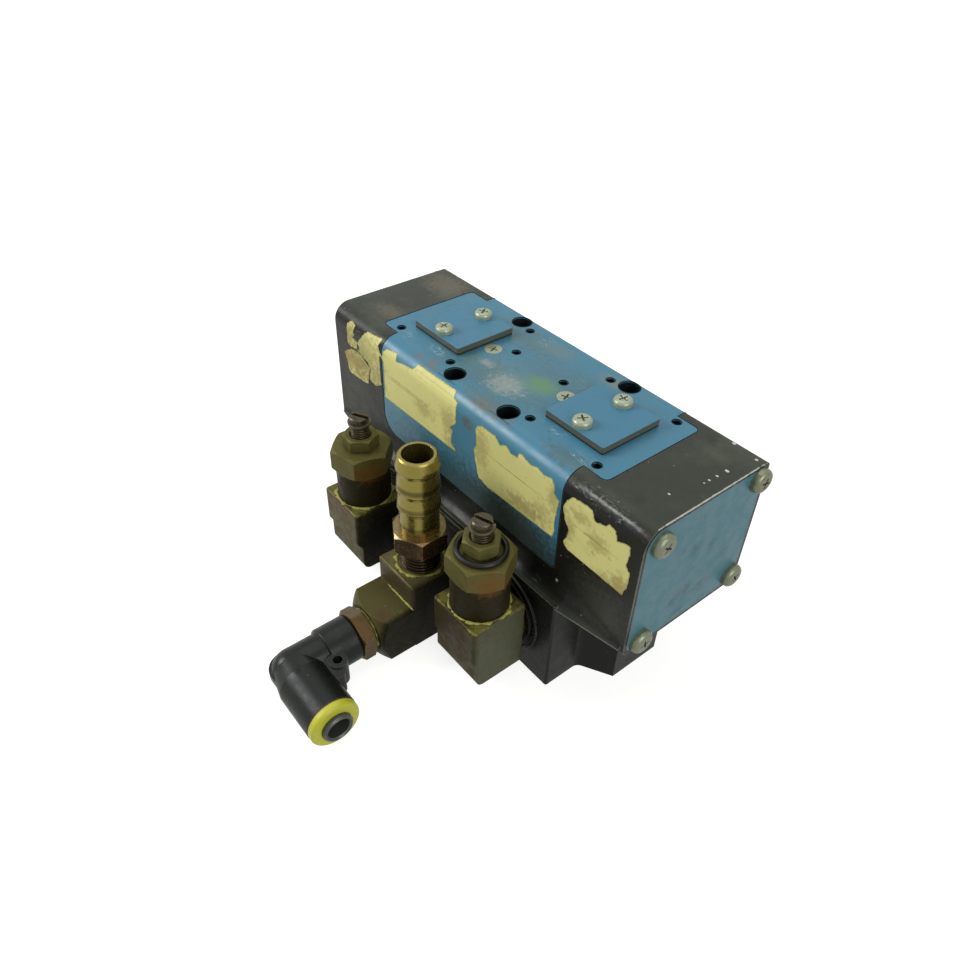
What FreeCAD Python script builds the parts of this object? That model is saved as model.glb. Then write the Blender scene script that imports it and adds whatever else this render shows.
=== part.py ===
import FreeCAD, Part

import math
import os

from FreeCAD import Vector

# Directional control valve with its port fittings, in millimetres.
# The origin is the centre of the base's bottom face, X runs along the spool,
# -Y is the face with the inlet and the two exhausts, and +Z is up.

# Body casting
BODY_LENGTH = 200.0
BODY_DEPTH = 67.2
HEAD_HEIGHT = 60.0
BASE_HEIGHT = 49.0
HEAD_SKIRT = 3.0
FRONT_EDGE_RADIUS = 8.0
BACK_EDGE_RADIUS = 2.2
END_LOWER_RADIUS = 2.0

# Port block under the head, with a foot at each end
BLOCK_HALF_LENGTH = 69.0
BLOCK_PROUD = 6.6
BLOCK_SIDE_DEPTH = 18.6
FOOT_HALF_LENGTH = 83.6
FOOT_HALF_DEPTH = 13.4
FOOT_CORNER_RADIUS = 4.0
FLARE_HEIGHT = 11.0
FLARE_END_PROUD = 1.4
FLARE_END_HEIGHT = 3.0
FLARE_END_INSET = 1.7
BLOCK_CORNER_RADIUS = 1.0
BASE_BOTTOM_RADIUS = 0.6

# Raised oval outline round the ports
OVAL_HALF_LENGTH = 60.5
OVAL_RADIUS = 21.8
OVAL_CENTRE_Z = 26.0
OVAL_RIB_WIDTH = 1.6
OVAL_RIB_PROUD = 0.7
SPOT_FACE_RADIUS = 11.6
OVAL_RIB_GAP = 2.4

# Ports
EXHAUST_X = 43.0
EXHAUST_Z = 23.0
INLET_X = 4.0
INLET_Z = 15.2
CYLINDER_PORT_X = 21.5
CYLINDER_PORT_Z = 24.0
PORT_RADIUS = 10.2
PORT_DEPTH = 17.0
PORT_CHAMFER = 1.0
PASSAGE_RADIUS = 7.0
PORT_PITCH = 21.5

# Tapped holes in the base's bottom face
BASE_HOLE_X = 58.0
BASE_HOLE_Y = 20.0
BASE_HOLE_RADIUS = 3.4
BASE_HOLE_DEPTH = 14.0

# Spool, sleeve and pilot chambers
SPOOL_AXIS_Z = 74.0
SPOOL_STROKE = 10.0
SLEEVE_OUTER_RADIUS = 17.0
SLEEVE_END_INSET = 3.0
SLEEVE_SEAT_CLEARANCE = 0.05
SPOOL_RADIUS = 10.94
SPOOL_CLEARANCE = 0.06
SPOOL_NECK_RADIUS = 7.0
SPOOL_WINDOW_RADIUS = 2.5
SPOOL_WINDOW_COUNT = 6
SLEEVE_GROOVE_WIDTH = 9.0
SLEEVE_GROOVE_DEPTH = 1.5
SEAL_WIDTH = 3.0
SEAL_GROOVE_DEPTH = 2.4
SEAL_SIDE_CLEARANCE = 0.2
LAND_CENTRE = 21.75
LAND_WIDTH = 4.0
END_LAND_INNER = 54.0
END_LAND_OUTER = 66.0
CHAMBER_RADIUS = 22.0
CHAMBER_DEPTH = 30.0
PISTON_RADIUS = 21.93
PISTON_THICKNESS = 9.0
PISTON_END_GAP = 0.6
PISTON_SPIGOT_RADIUS = 5.0
PISTON_SPIGOT_LENGTH = 5.0
PISTON_SEAL_WIDTH = 3.2
PISTON_SEAL_DEPTH = 2.6
RING_OUTER_RADIUS = 18.2
RING_INNER_RADIUS = 14.6
RING_THICKNESS = 1.2
RING_GAP_WIDTH = 9.0

# End plates
END_RIM = 1.4
PLATE_THICKNESS = 3.0
GASKET_THICKNESS = 0.6
PLATE_FIT = 0.15
FRONT_LOW_SCREW_INSET = (8.0, 4.6)
FRONT_HIGH_SCREW_INSET = (8.3, 7.8)
BACK_LOW_SCREW_INSET = (5.4, 6.4)
BACK_HIGH_SCREW_INSET = (5.2, 6.2)
PLATE_SCREW_LENGTH = 14.0
PLATE_SCREW_RADIUS = 2.4
PLATE_HEAD_RADIUS = 5.2
PLATE_HEAD_HEIGHT = 3.5

# Blue top cover that wraps over the head's front
COVER_HALF_LENGTH = 60.0
COVER_THICKNESS = 11.0
COVER_FRONT_THICKNESS = 5.0
COVER_FRONT_BOTTOM_Z = 60.5
COVER_LEFT_CORNER_RADIUS = 10.0
COVER_RIGHT_CORNER_RADIUS = 3.0
COVER_FIT = 0.15
TONGUE_HALF_LENGTH = 71.5
TONGUE_FRONT_Y = -24.3
TONGUE_BACK_Y = 27.8
TONGUE_THICKNESS = 5.0
TONGUE_CORNER_RADIUS = 2.5

# Holes in the top cover
BIG_HOLE_RADIUS = 4.7
BIG_HOLE_FRONT_X = 17.4
BIG_HOLE_FRONT_Y = -24.2
BIG_HOLE_BACK_X = 34.0
BIG_HOLE_BACK_Y = 27.7
BIG_HOLE_DEPTH = 26.0
SMALL_HOLE_RADIUS = 1.95
SMALL_HOLE_DEPTH = 9.0
SMALL_HOLES = (
    (-25.9, -20.2), (25.9, -20.2),
    (-25.5, 25.2), (25.5, 25.2),
    (-15.1, 7.9), (15.1, 7.9),
)
TONGUE_HOLES = ((-62.8, -20.2), (62.8, -20.2), (62.4, 24.4))
TONGUE_HOLE_DEPTH = 4.0
COVER_SCREW_X = 23.4
COVER_SCREW_Y = 1.6
COVER_SCREW_HEAD_RADIUS = 4.0
COVER_SCREW_HEAD_HEIGHT = 2.2
COVER_SCREW_RADIUS = 2.0
COVER_SCREW_LENGTH = 15.0

# Blanking plates on the top cover
BLANK_X = 44.0
BLANK_Y = 1.2
BLANK_LENGTH = 31.8
BLANK_DEPTH = 31.5
BLANK_THICKNESS = 2.6
BLANK_GASKET = 0.8
BLANK_SCREW_SPACING = 22.4
BLANK_SCREW_RADIUS = 2.0
BLANK_SCREW_LENGTH = 10.0
BLANK_HEAD_RADIUS = 4.1
BLANK_HEAD_HEIGHT = 2.9

# Threads and recesses shared by the screws
SCREW_HOLE_CLEARANCE = 0.05
CROSS_LENGTH = 4.6
CROSS_WIDTH = 0.9
CROSS_DEPTH = 1.6

# Pipe threads: the engaged length is drawn at the bore's size
PIPE_MAJOR_RADIUS = 10.8
PIPE_ENGAGED_RADIUS = 10.15
PIPE_ENGAGED_LENGTH = 12.0
PIPE_BORE_RADIUS = 7.0

# Street elbows on the exhausts
FITTING_Y = -57.4
ELBOW_COLLAR = 27.4
ELBOW_FRONT_STEP = 2.2
ELBOW_HEEL_RADIUS = 4.0
ELBOW_TOP_ROUND = 1.2
ELBOW_TOP_Z = 43.7
ELBOW_STEP_Z = 26.0
ELBOW_STEP_HEIGHT = 2.6
ELBOW_BOTTOM_Z = 9.0
ELBOW_EDGE = 1.6

# Flow controls on the street elbows
LEFT_CONTROL_HEX_Z = 60.7
RIGHT_CONTROL_HEX_Z = 61.6
CONTROL_HEX_TURN = {-1: 13.6, 1: 0.0}
CONTROL_NECK_RADIUS = 12.3
BIG_HEX_FLATS = 25.05
BIG_HEX_HEIGHT = 10.8
BIG_HEX_CHAMFER = 1.2
GLAND_HEX_FLATS = 14.2
GLAND_HEX_HEIGHT = 6.0
RIGHT_GLAND_STAND_OFF = 1.7
GLAND_HEX_TURN = {-1: -6.8, 1: 13.8}
GLAND_THREAD_RADIUS = 6.4
GLAND_THREAD_LENGTH = 5.0
GLAND_FIT = 0.05
ADJUSTER_RADIUS = 4.2
ADJUSTER_CLEARANCE = 0.08
LEFT_ADJUSTER_TIP_Z = 87.0
RIGHT_ADJUSTER_TIP_Z = 88.5
ADJUSTER_LENGTH = 31.0
ADJUSTER_HEAD_RADIUS = 4.25
ADJUSTER_HEAD_HEIGHT = 2.6
ADJUSTER_SLOT_WIDTH = 2.0
ADJUSTER_SLOT_TURN = {-1: 29.0, 1: 19.0}
ADJUSTER_SLOT_DEPTH = 2.0
ADJUSTER_SPIGOT_RADIUS = 2.4
ADJUSTER_SPIGOT_LENGTH = 4.0
ADJUSTER_NECK_RADIUS = 3.4
ADJUSTER_NECK_HEIGHT = 1.4
SNAP_RING_RADIUS = 5.2
SNAP_RING_TURN = {-1: 100.0, 1: 75.0}
SNAP_RING_THICKNESS = 1.0
SNAP_RING_GAP = 2.4
METER_RADIUS = 7.2
METER_CLEARANCE = 0.3
METER_HEIGHT = 9.0
METER_LIFT_ROOM = 5.4
METER_CHAMBER_RADIUS = 7.5
STEM_SEAL_OUTER = 6.3
STEM_SEAL_SECTION = 2.0
LOOSE_RING_RADIUS = 9.8
LOOSE_RING_SECTION = 1.18

# Street tee on the inlet
TEE_Y = -59.2
TEE_WIDTH = 26.5
TEE_TOP_Z = 36.7
TEE_BOTTOM_Z = 0.5
TEE_ARM_TOP_Z = 24.0
TEE_ARM_END_Y = -89.2
TEE_ARM_AXIS_Z = 12.35
TEE_EDGE = 0.6
TEE_TOP_ROUND = 0.8
TEE_CONE_LENGTH = 4.3
TEE_CONE_RADIUS = 11.7
TEE_CONE_REACH = 18.0

# Hose barb on the tee
BARB_THREAD_RADIUS = 8.4
BARB_ENGAGED = 9.0
BARB_THREAD_SHOWN = 11.5
BARB_HEX_FLATS = 22.4
BARB_HEX_HEIGHT = 9.4
BARB_HEX_TURN = -30.2
BARB_TIP_Z = 96.2
BARB_TIP_RADIUS = 8.1
BARB_CREST_RADIUS = 9.35
BARB_NECK_RADIUS = 8.6
BARB_CRESTS_Z = (70.5, 79.8, 90.6)
BARB_BORE_RADIUS = 6.55

# Push-in elbow on the tee's arm
STEM_THREAD_RADIUS = 8.4
STEM_THREAD_SHOWN = 1.4
STEM_ENGAGED = 9.0
STEM_HEX_FLATS = 21.3
STEM_HEX_LENGTH = 6.1
STEM_SPIGOT_RADIUS = 7.0
STEM_SPIGOT_LENGTH = 16.0
STEM_SPIGOT_CLEARANCE = 0.08
STEM_BORE_RADIUS = 4.4
SWIVEL_FACE_GAP = 0.3
SWIVEL_SEAL_SECTION = 1.8
PUSH_SLEEVE_RADIUS = 10.5
PUSH_SLEEVE_END_Y = -111.4
PUSH_BEND_RADIUS = 9.2
PUSH_OUTLET_RADIUS = 11.2
PUSH_OUTLET_Y = -125.3
PUSH_OUTLET_END_X = 34.8
PUSH_WIDEN_LENGTH = 9.0
PUSH_FIN_THICKNESS = 3.0
PUSH_FIN_REACH = 9.8
PUSH_FIN_CORNER = 9.0
PUSH_EAR_X = 15.6
PUSH_EAR_Y = -110.3
PUSH_EAR_RADIUS = 4.2
PUSH_EAR_HOLE_RADIUS = 2.1
PUSH_EAR_HALF_HEIGHT = 6.2
PUSH_WEB_END_X = 23.5
PUSH_WEB_BACK_Y = -110.6
PUSH_WEB_HALF_HEIGHT = 5.4
PUSH_BODY_BORE_RADIUS = 4.4
TUBE_BORE_RADIUS = 4.9
COLLET_BORE_RADIUS = 6.8
COLLET_BORE_DEPTH = 14.0
COLLET_CLEARANCE = 0.08
COLLET_LENGTH = 16.0
COLLET_PROUD = 2.4
COPPER_RING_THICKNESS = 0.7
COPPER_RING_RADIUS = 11.0
COLLAR_THICKNESS = 3.2
COLLAR_RADIUS = 11.05
COLLAR_ROUND = 1.5
TUBE_SEAL_SECTION = 1.8

HEAD_BOTTOM_Z = BASE_HEIGHT - HEAD_SKIRT
HEAD_TOP_Z = BASE_HEIGHT + HEAD_HEIGHT
FRONT_Y = -BODY_DEPTH / 2
BACK_Y = BODY_DEPTH / 2
END_X = BODY_LENGTH / 2
CHAMBER_FLOOR_X = END_X - CHAMBER_DEPTH
SLEEVE_HALF_LENGTH = CHAMBER_FLOOR_X - SLEEVE_END_INSET
FLARE_END_X = END_X - FLARE_END_INSET
PLATE_SCREWS = [
    (FRONT_Y + FRONT_LOW_SCREW_INSET[0], HEAD_BOTTOM_Z + FRONT_LOW_SCREW_INSET[1]),
    (FRONT_Y + FRONT_HIGH_SCREW_INSET[0], HEAD_TOP_Z - FRONT_HIGH_SCREW_INSET[1]),
    (BACK_Y - BACK_LOW_SCREW_INSET[0], HEAD_BOTTOM_Z + BACK_LOW_SCREW_INSET[1]),
    (BACK_Y - BACK_HIGH_SCREW_INSET[0], HEAD_TOP_Z - BACK_HIGH_SCREW_INSET[1])]
CONTROL_HEX_Z = {-1: LEFT_CONTROL_HEX_Z, 1: RIGHT_CONTROL_HEX_Z}
GLAND_STAND_OFF = {-1: 0.0, 1: RIGHT_GLAND_STAND_OFF}
ADJUSTER_TIP_Z = {-1: LEFT_ADJUSTER_TIP_Z, 1: RIGHT_ADJUSTER_TIP_Z}
PORT_FACE_Y = FRONT_Y - BLOCK_PROUD
SPOOL_REST_X = -SPOOL_STROKE / 2
PLATE_POCKET = PLATE_THICKNESS + GASKET_THICKNESS
PLATE_FLOOR_X = END_X - PLATE_POCKET
SEAL_XS = [PORT_PITCH * (step + 0.5) for step in range(-3, 3)]
SIDES = (("left", -1), ("right", 1))

X_AXIS = Vector(1, 0, 0)
Y_AXIS = Vector(0, 1, 0)
Z_AXIS = Vector(0, 0, 1)
ORIGIN = Vector(0, 0, 0)

parts = {}


def box(x0, x1, y0, y1, z0, z1):
    """Block between two corners."""
    return Part.makeBox(x1 - x0, y1 - y0, z1 - z0, Vector(x0, y0, z0))


def rod(radius, start, axis, length):
    """Cylinder of a radius from a start point along an axis."""
    return Part.makeCylinder(radius, length, start, axis)


def cone(radius_0, radius_1, start, axis, length):
    """Cone frustum from a start point along an axis."""
    return Part.makeCone(radius_0, radius_1, length, start, axis)


def tube(outer, inner, start, axis, length):
    """Plain ring with a square section."""
    return rod(outer, start, axis, length).cut(rod(inner, start, axis, length))


def hexagon(flats, start, axis, length, turn=0.0):
    """Hexagonal prism across its flats, turned about its own axis in degrees."""
    corner = flats / math.sqrt(3)
    points = []
    for step in range(7):
        angle = math.radians(60 * step + turn)
        points.append(Vector(corner * math.cos(angle), corner * math.sin(angle), 0))
    prism = Part.Face(Part.makePolygon(points)).extrude(Vector(0, 0, length))
    prism.Placement = FreeCAD.Placement(start, FreeCAD.Rotation(Z_AXIS, axis))
    return prism


def nut_body(flats, start, axis, length, chamfer, turn=0.0):
    """Hexagon whose two ends have the turned chamfer of a nut."""
    corner = flats / math.sqrt(3)
    prism = hexagon(flats, start, axis, length, turn)
    lower = cone(corner - chamfer * 1.5, corner + 0.2, start, axis, chamfer)
    middle = rod(corner + 0.2, start + axis * chamfer, axis, length - 2 * chamfer)
    upper = cone(corner + 0.2, corner - chamfer * 1.5, start + axis * (length - chamfer), axis, chamfer)
    return prism.common(lower.fuse([middle, upper]).removeSplitter())


def turned(profile, axis_point, axis, turn_from):
    """Solid of revolution: profile holds (distance along, radius) pairs."""
    points = [axis_point + axis * along + turn_from * radius for along, radius in profile]
    face = Part.Face(Part.makePolygon(points + [points[0]]))
    return face.revolve(axis_point, axis, 360)


def torus(major, minor, centre, axis):
    """Ring with a round section."""
    return Part.makeTorus(major, minor, centre, axis)


def edges_along(shape, direction, keep):
    """Straight edges parallel to a direction whose middle passes a test."""
    found = []
    for edge in shape.Edges:
        if not isinstance(edge.Curve, Part.Line):
            continue
        tangent = edge.tangentAt(edge.FirstParameter)
        if abs(abs(tangent.dot(direction)) - 1) > 1e-6:
            continue
        if keep(edge.CenterOfMass):
            found.append(edge)
    return found


def rounded_outline(y0, y1, z0, z1, radii, x0, length):
    """Block along X whose four long edges have radii: front-bottom, back-bottom, back-top, front-top."""
    solid = box(x0, x0 + length, y0, y1, z0, z1)
    corners = ((y0, z0), (y1, z0), (y1, z1), (y0, z1))
    for (y, z), radius in zip(corners, radii):
        edge = edges_along(solid, X_AXIS, lambda c: abs(c.y - y) < 1e-3 and abs(c.z - z) < 1e-3)
        solid = solid.makeFillet(radius, edge)
    return solid


def head_outline(inset, x0, length):
    """The head's section drawn in by an inset, as a prism along X."""
    radii = (END_LOWER_RADIUS, END_LOWER_RADIUS, BACK_EDGE_RADIUS, max(FRONT_EDGE_RADIUS - inset, 1))
    return rounded_outline(
        FRONT_Y + inset, BACK_Y - inset, HEAD_BOTTOM_Z + inset, HEAD_TOP_Z - inset, radii, x0, length)


def cross_recess(centre, axis, turn):
    """The four-winged recess cut into a screw head, below a point on the head."""
    arms = []
    for quarter in (0, 90):
        wing = box(-CROSS_LENGTH / 2, CROSS_LENGTH / 2, -CROSS_WIDTH / 2, CROSS_WIDTH / 2, -CROSS_DEPTH, 1.0)
        wing.rotate(ORIGIN, Z_AXIS, turn + quarter)
        arms.append(wing)
    recess = arms[0].fuse(arms[1])
    recess.Placement = FreeCAD.Placement(centre, FreeCAD.Rotation(Z_AXIS, axis)).multiply(recess.Placement)
    return recess


def pan_screw(seat, axis, head_radius, head_height, shank_radius, shank_length, turn):
    """Cross-recessed pan head screw; its head stands on the seat point and its shank runs back."""
    side = Y_AXIS if abs(axis.dot(Y_AXIS)) < 0.5 else X_AXIS
    crown = head_height * 0.45
    start = seat + side * 0
    edge_in = head_radius * 0.62
    low = seat + axis * crown
    outline = Part.Wire([
        Part.LineSegment(start, seat + side * head_radius).toShape(),
        Part.LineSegment(seat + side * head_radius, low + side * head_radius).toShape(),
        Part.Arc(low + side * head_radius,
                 seat + axis * (head_height * 0.86) + side * (head_radius * 0.86),
                 seat + axis * head_height + side * edge_in).toShape(),
        Part.LineSegment(seat + axis * head_height + side * edge_in, seat + axis * head_height).toShape(),
        Part.LineSegment(seat + axis * head_height, start).toShape(),
    ])
    head = Part.Face(outline).revolve(seat, axis, 360)
    shank = rod(shank_radius, seat - axis * shank_length, axis, shank_length)
    screw = head.fuse(shank).removeSplitter()
    return screw.cut(cross_recess(seat + axis * head_height, axis, turn))


def countersunk_screw(top, axis, turn):
    """Cross-recessed flat head screw whose head's face lies at the top point."""
    head = cone(COVER_SCREW_RADIUS, COVER_SCREW_HEAD_RADIUS, top - axis * COVER_SCREW_HEAD_HEIGHT, axis,
                COVER_SCREW_HEAD_HEIGHT)
    shank = rod(COVER_SCREW_RADIUS, top - axis * COVER_SCREW_LENGTH, axis,
                COVER_SCREW_LENGTH - COVER_SCREW_HEAD_HEIGHT)
    return head.fuse(shank).removeSplitter().cut(cross_recess(top, axis, turn))


def pipe_port(x, z, outward):
    """Tapped pipe port in the front (-1) or back (+1) face of the port block, with its passage."""
    face_y = outward * (BODY_DEPTH / 2 + BLOCK_PROUD)
    inward = Vector(0, -outward, 0)
    mouth = Vector(x, face_y, z)
    thread = rod(PORT_RADIUS, mouth, inward, PORT_DEPTH)
    chamfer = cone(PORT_RADIUS + PORT_CHAMFER, PORT_RADIUS, mouth, inward, PORT_CHAMFER)
    drill = rod(PASSAGE_RADIUS, mouth, inward, abs(face_y))
    return thread.fuse([chamfer, drill])


def valve_body():
    """Black casting: the head, the port block with its feet, and all bores."""
    head = head_outline(0.0, -END_X, BODY_LENGTH)

    foot_start_y = FOOT_HALF_DEPTH
    half_depth = BODY_DEPTH / 2 + BLOCK_PROUD
    side_y = half_depth - BLOCK_SIDE_DEPTH
    quarter = [
        (BLOCK_HALF_LENGTH, half_depth), (BLOCK_HALF_LENGTH, side_y), (FOOT_HALF_LENGTH, foot_start_y)]
    ring = [(x, y) for x, y in quarter]
    ring += [(x, -y) for x, y in reversed(quarter)]
    ring += [(-x, -y) for x, y in quarter]
    ring += [(-x, y) for x, y in reversed(quarter)]
    points = [Vector(x, y, 0) for x, y in ring]
    block = Part.Face(Part.makePolygon(points + [points[0]])).extrude(Vector(0, 0, BASE_HEIGHT + 1))
    inner = edges_along(
        block, Z_AXIS, lambda c: abs(abs(c.x) - BLOCK_HALF_LENGTH) < 0.01 and abs(abs(c.y) - side_y) < 0.01)
    block = block.makeFillet(FOOT_CORNER_RADIUS, inner)
    outer = edges_along(block, Z_AXIS, lambda c: abs(abs(c.y) - half_depth) < 0.01)
    block = block.makeFillet(BLOCK_CORNER_RADIUS, outer)

    body = head.fuse(block)
    for outward in (-1, 1):
        body = body.fuse(flares(outward))
    body = body.removeSplitter()
    body = body.fuse(oval_ribs())

    cuts = [cover_recess()]
    for x in (-EXHAUST_X, EXHAUST_X):
        cuts.append(pipe_port(x, EXHAUST_Z, -1))
    cuts.append(pipe_port(INLET_X, INLET_Z, -1))
    for x in (-CYLINDER_PORT_X, CYLINDER_PORT_X):
        cuts.append(pipe_port(x, CYLINDER_PORT_Z, 1))
    galleries = {
        -2 * PORT_PITCH: EXHAUST_Z, -PORT_PITCH: CYLINDER_PORT_Z, 0.0: INLET_Z,
        PORT_PITCH: CYLINDER_PORT_Z, 2 * PORT_PITCH: EXHAUST_Z}
    for x, z in galleries.items():
        cuts.append(rod(PASSAGE_RADIUS, Vector(x, 0, z), Z_AXIS, SPOOL_AXIS_Z - 8 - z))

    axis_start = Vector(-END_X - 1, 0, SPOOL_AXIS_Z)
    cuts.append(rod(SLEEVE_OUTER_RADIUS + SLEEVE_SEAT_CLEARANCE, axis_start, X_AXIS, BODY_LENGTH + 2))
    for side in (-1, 1):
        outward = Vector(side, 0, 0)
        floor = Vector(side * CHAMBER_FLOOR_X, 0, SPOOL_AXIS_Z)
        cuts.append(rod(CHAMBER_RADIUS, floor, outward, END_X - CHAMBER_FLOOR_X + 1))
        ring_seat = Vector(side * SLEEVE_HALF_LENGTH, 0, SPOOL_AXIS_Z)
        cuts.append(rod(RING_OUTER_RADIUS + 0.1, ring_seat, outward, RING_THICKNESS + 0.1))
        pocket_x = END_X - PLATE_POCKET
        pocket = head_outline(END_RIM, min(side * pocket_x, side * (END_X + 1)), PLATE_POCKET + 1)
        cuts.append(pocket)
        for y, z in PLATE_SCREWS:
            hole = rod(PLATE_SCREW_RADIUS + SCREW_HOLE_CLEARANCE, Vector(side * (END_X - 16), y, z), outward, 16)
            cuts.append(hole)

    for x in (-BIG_HOLE_FRONT_X, BIG_HOLE_FRONT_X):
        cuts.append(rod(BIG_HOLE_RADIUS, Vector(x, BIG_HOLE_FRONT_Y, HEAD_TOP_Z), -Z_AXIS, BIG_HOLE_DEPTH))
    for x in (-BIG_HOLE_BACK_X, BIG_HOLE_BACK_X):
        cuts.append(rod(BIG_HOLE_RADIUS, Vector(x, BIG_HOLE_BACK_Y, HEAD_TOP_Z), -Z_AXIS, BIG_HOLE_DEPTH))
    for x in (-COVER_SCREW_X, COVER_SCREW_X):
        top = Vector(x, COVER_SCREW_Y, HEAD_TOP_Z)
        cuts.append(rod(COVER_SCREW_RADIUS + SCREW_HOLE_CLEARANCE, top, -Z_AXIS, COVER_SCREW_LENGTH + 0.5))
    for x in (-BASE_HOLE_X, BASE_HOLE_X):
        for y in (-BASE_HOLE_Y, BASE_HOLE_Y):
            cuts.append(rod(BASE_HOLE_RADIUS, Vector(x, y, 0), Z_AXIS, BASE_HOLE_DEPTH))
    return body.cut(cuts)


def flare_profile(x, proud, height, outward):
    """Concave section that carries the head's face out to the port block's face."""
    face_y = outward * BODY_DEPTH / 2
    z0 = BASE_HEIGHT
    top = Vector(x, face_y, z0 + height)
    foot = Vector(x, face_y + outward * proud, z0 - 0.0)
    inner_low = Vector(x, face_y - outward * 2, z0)
    inner_top = Vector(x, face_y - outward * 2, z0 + height)
    bulge = Vector(x, face_y + outward * proud * 0.27, z0 + height * 0.34)
    return Part.Wire([
        Part.LineSegment(inner_top, top).toShape(),
        Part.Arc(top, bulge, foot).toShape(),
        Part.LineSegment(foot, inner_low).toShape(),
        Part.LineSegment(inner_low, inner_top).toShape(),
    ])


def flares(outward):
    """The flare above the block and its tapering run out under each end of the head."""
    wide = flare_profile(-BLOCK_HALF_LENGTH, BLOCK_PROUD, FLARE_HEIGHT, outward)
    middle = Part.Face(wide).extrude(Vector(2 * BLOCK_HALF_LENGTH, 0, 0))
    pieces = [middle]
    for side in (-1, 1):
        inner = flare_profile(side * BLOCK_HALF_LENGTH, BLOCK_PROUD, FLARE_HEIGHT, outward)
        outer = flare_profile(side * FLARE_END_X, FLARE_END_PROUD, FLARE_END_HEIGHT, outward)
        pieces.append(Part.makeLoft([inner, outer], True, True))
    return pieces


def oval_ribs():
    """Two thin raised lines that run round the front ports and stop at the inlet's spot face."""
    pieces = []
    centre_x = OVAL_HALF_LENGTH - OVAL_RADIUS
    for inset in (0.0, OVAL_RIB_WIDTH + OVAL_RIB_GAP):
        outer = oval_prism(centre_x, OVAL_RADIUS - inset)
        inner = oval_prism(centre_x, OVAL_RADIUS - inset - OVAL_RIB_WIDTH)
        pieces.append(outer.cut(inner))
    proud_y = PORT_FACE_Y - OVAL_RIB_PROUD - 1
    spot_face = rod(SPOT_FACE_RADIUS, Vector(INLET_X, proud_y, INLET_Z), Y_AXIS, PORT_FACE_Y - proud_y)
    return [piece.cut(spot_face) for piece in pieces]


def oval_prism(centre_x, radius):
    """Straight-sided oval that stands proud of the port face."""
    y0 = PORT_FACE_Y - OVAL_RIB_PROUD
    depth = OVAL_RIB_PROUD + 0.5
    middle = box(-centre_x, centre_x, y0, y0 + depth, OVAL_CENTRE_Z - radius, OVAL_CENTRE_Z + radius)
    ends = [rod(radius, Vector(x, y0, OVAL_CENTRE_Z), Y_AXIS, depth) for x in (-centre_x, centre_x)]
    return middle.fuse(ends).removeSplitter()


def cover_solid(fit):
    """Outline of the top cover, larger all round by a fit."""
    top = rounded_outline(
        FRONT_Y, BACK_Y, HEAD_TOP_Z - 3 * COVER_THICKNESS, HEAD_TOP_Z,
        (0.5, 0.5, BACK_EDGE_RADIUS, FRONT_EDGE_RADIUS), -COVER_HALF_LENGTH - fit, 2 * (COVER_HALF_LENGTH + fit))
    slab = top.common(box(-BODY_LENGTH, BODY_LENGTH, FRONT_Y - 1, BACK_Y + 1,
                          HEAD_TOP_Z - COVER_THICKNESS - fit, HEAD_TOP_Z + 1))
    panel = box(-COVER_HALF_LENGTH - fit, COVER_HALF_LENGTH + fit, FRONT_Y, FRONT_Y + COVER_FRONT_THICKNESS + fit,
                COVER_FRONT_BOTTOM_Z - fit, HEAD_TOP_Z - COVER_THICKNESS)
    for side, radius in ((-1, COVER_LEFT_CORNER_RADIUS), (1, COVER_RIGHT_CORNER_RADIUS)):
        corner = edges_along(panel, Y_AXIS, lambda c: c.x * side > 0 and c.z < HEAD_TOP_Z - 2 * COVER_THICKNESS)
        panel = panel.makeFillet(radius, corner)
    tongue = box(-TONGUE_HALF_LENGTH - fit, TONGUE_HALF_LENGTH + fit, TONGUE_FRONT_Y - fit, TONGUE_BACK_Y + fit,
                 HEAD_TOP_Z - TONGUE_THICKNESS - fit, HEAD_TOP_Z)
    corners = edges_along(tongue, Z_AXIS, lambda c: True)
    tongue = tongue.makeFillet(TONGUE_CORNER_RADIUS, corners)
    return slab.fuse([panel, tongue]).removeSplitter()


def cover_recess():
    """Space that the top cover takes out of the casting, open at the front and the top."""
    fit = COVER_FIT
    front = box(-COVER_HALF_LENGTH - fit, COVER_HALF_LENGTH + fit, FRONT_Y - 1, BACK_Y + 1,
                HEAD_TOP_Z - COVER_THICKNESS, HEAD_TOP_Z + 1)
    panel = box(-COVER_HALF_LENGTH - fit, COVER_HALF_LENGTH + fit, FRONT_Y - 1, FRONT_Y + COVER_FRONT_THICKNESS,
                COVER_FRONT_BOTTOM_Z - fit, HEAD_TOP_Z)
    for side, radius in ((-1, COVER_LEFT_CORNER_RADIUS), (1, COVER_RIGHT_CORNER_RADIUS)):
        corner = edges_along(panel, Y_AXIS, lambda c: c.x * side > 0 and c.z < HEAD_TOP_Z - 2 * COVER_THICKNESS)
        panel = panel.makeFillet(radius, corner)
    tongue = box(-TONGUE_HALF_LENGTH - fit, TONGUE_HALF_LENGTH + fit, TONGUE_FRONT_Y - fit, TONGUE_BACK_Y + fit,
                 HEAD_TOP_Z - TONGUE_THICKNESS, HEAD_TOP_Z + 1)
    tongue = tongue.makeFillet(TONGUE_CORNER_RADIUS, edges_along(tongue, Z_AXIS, lambda c: True))
    return front.fuse([panel, tongue]).removeSplitter()


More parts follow.
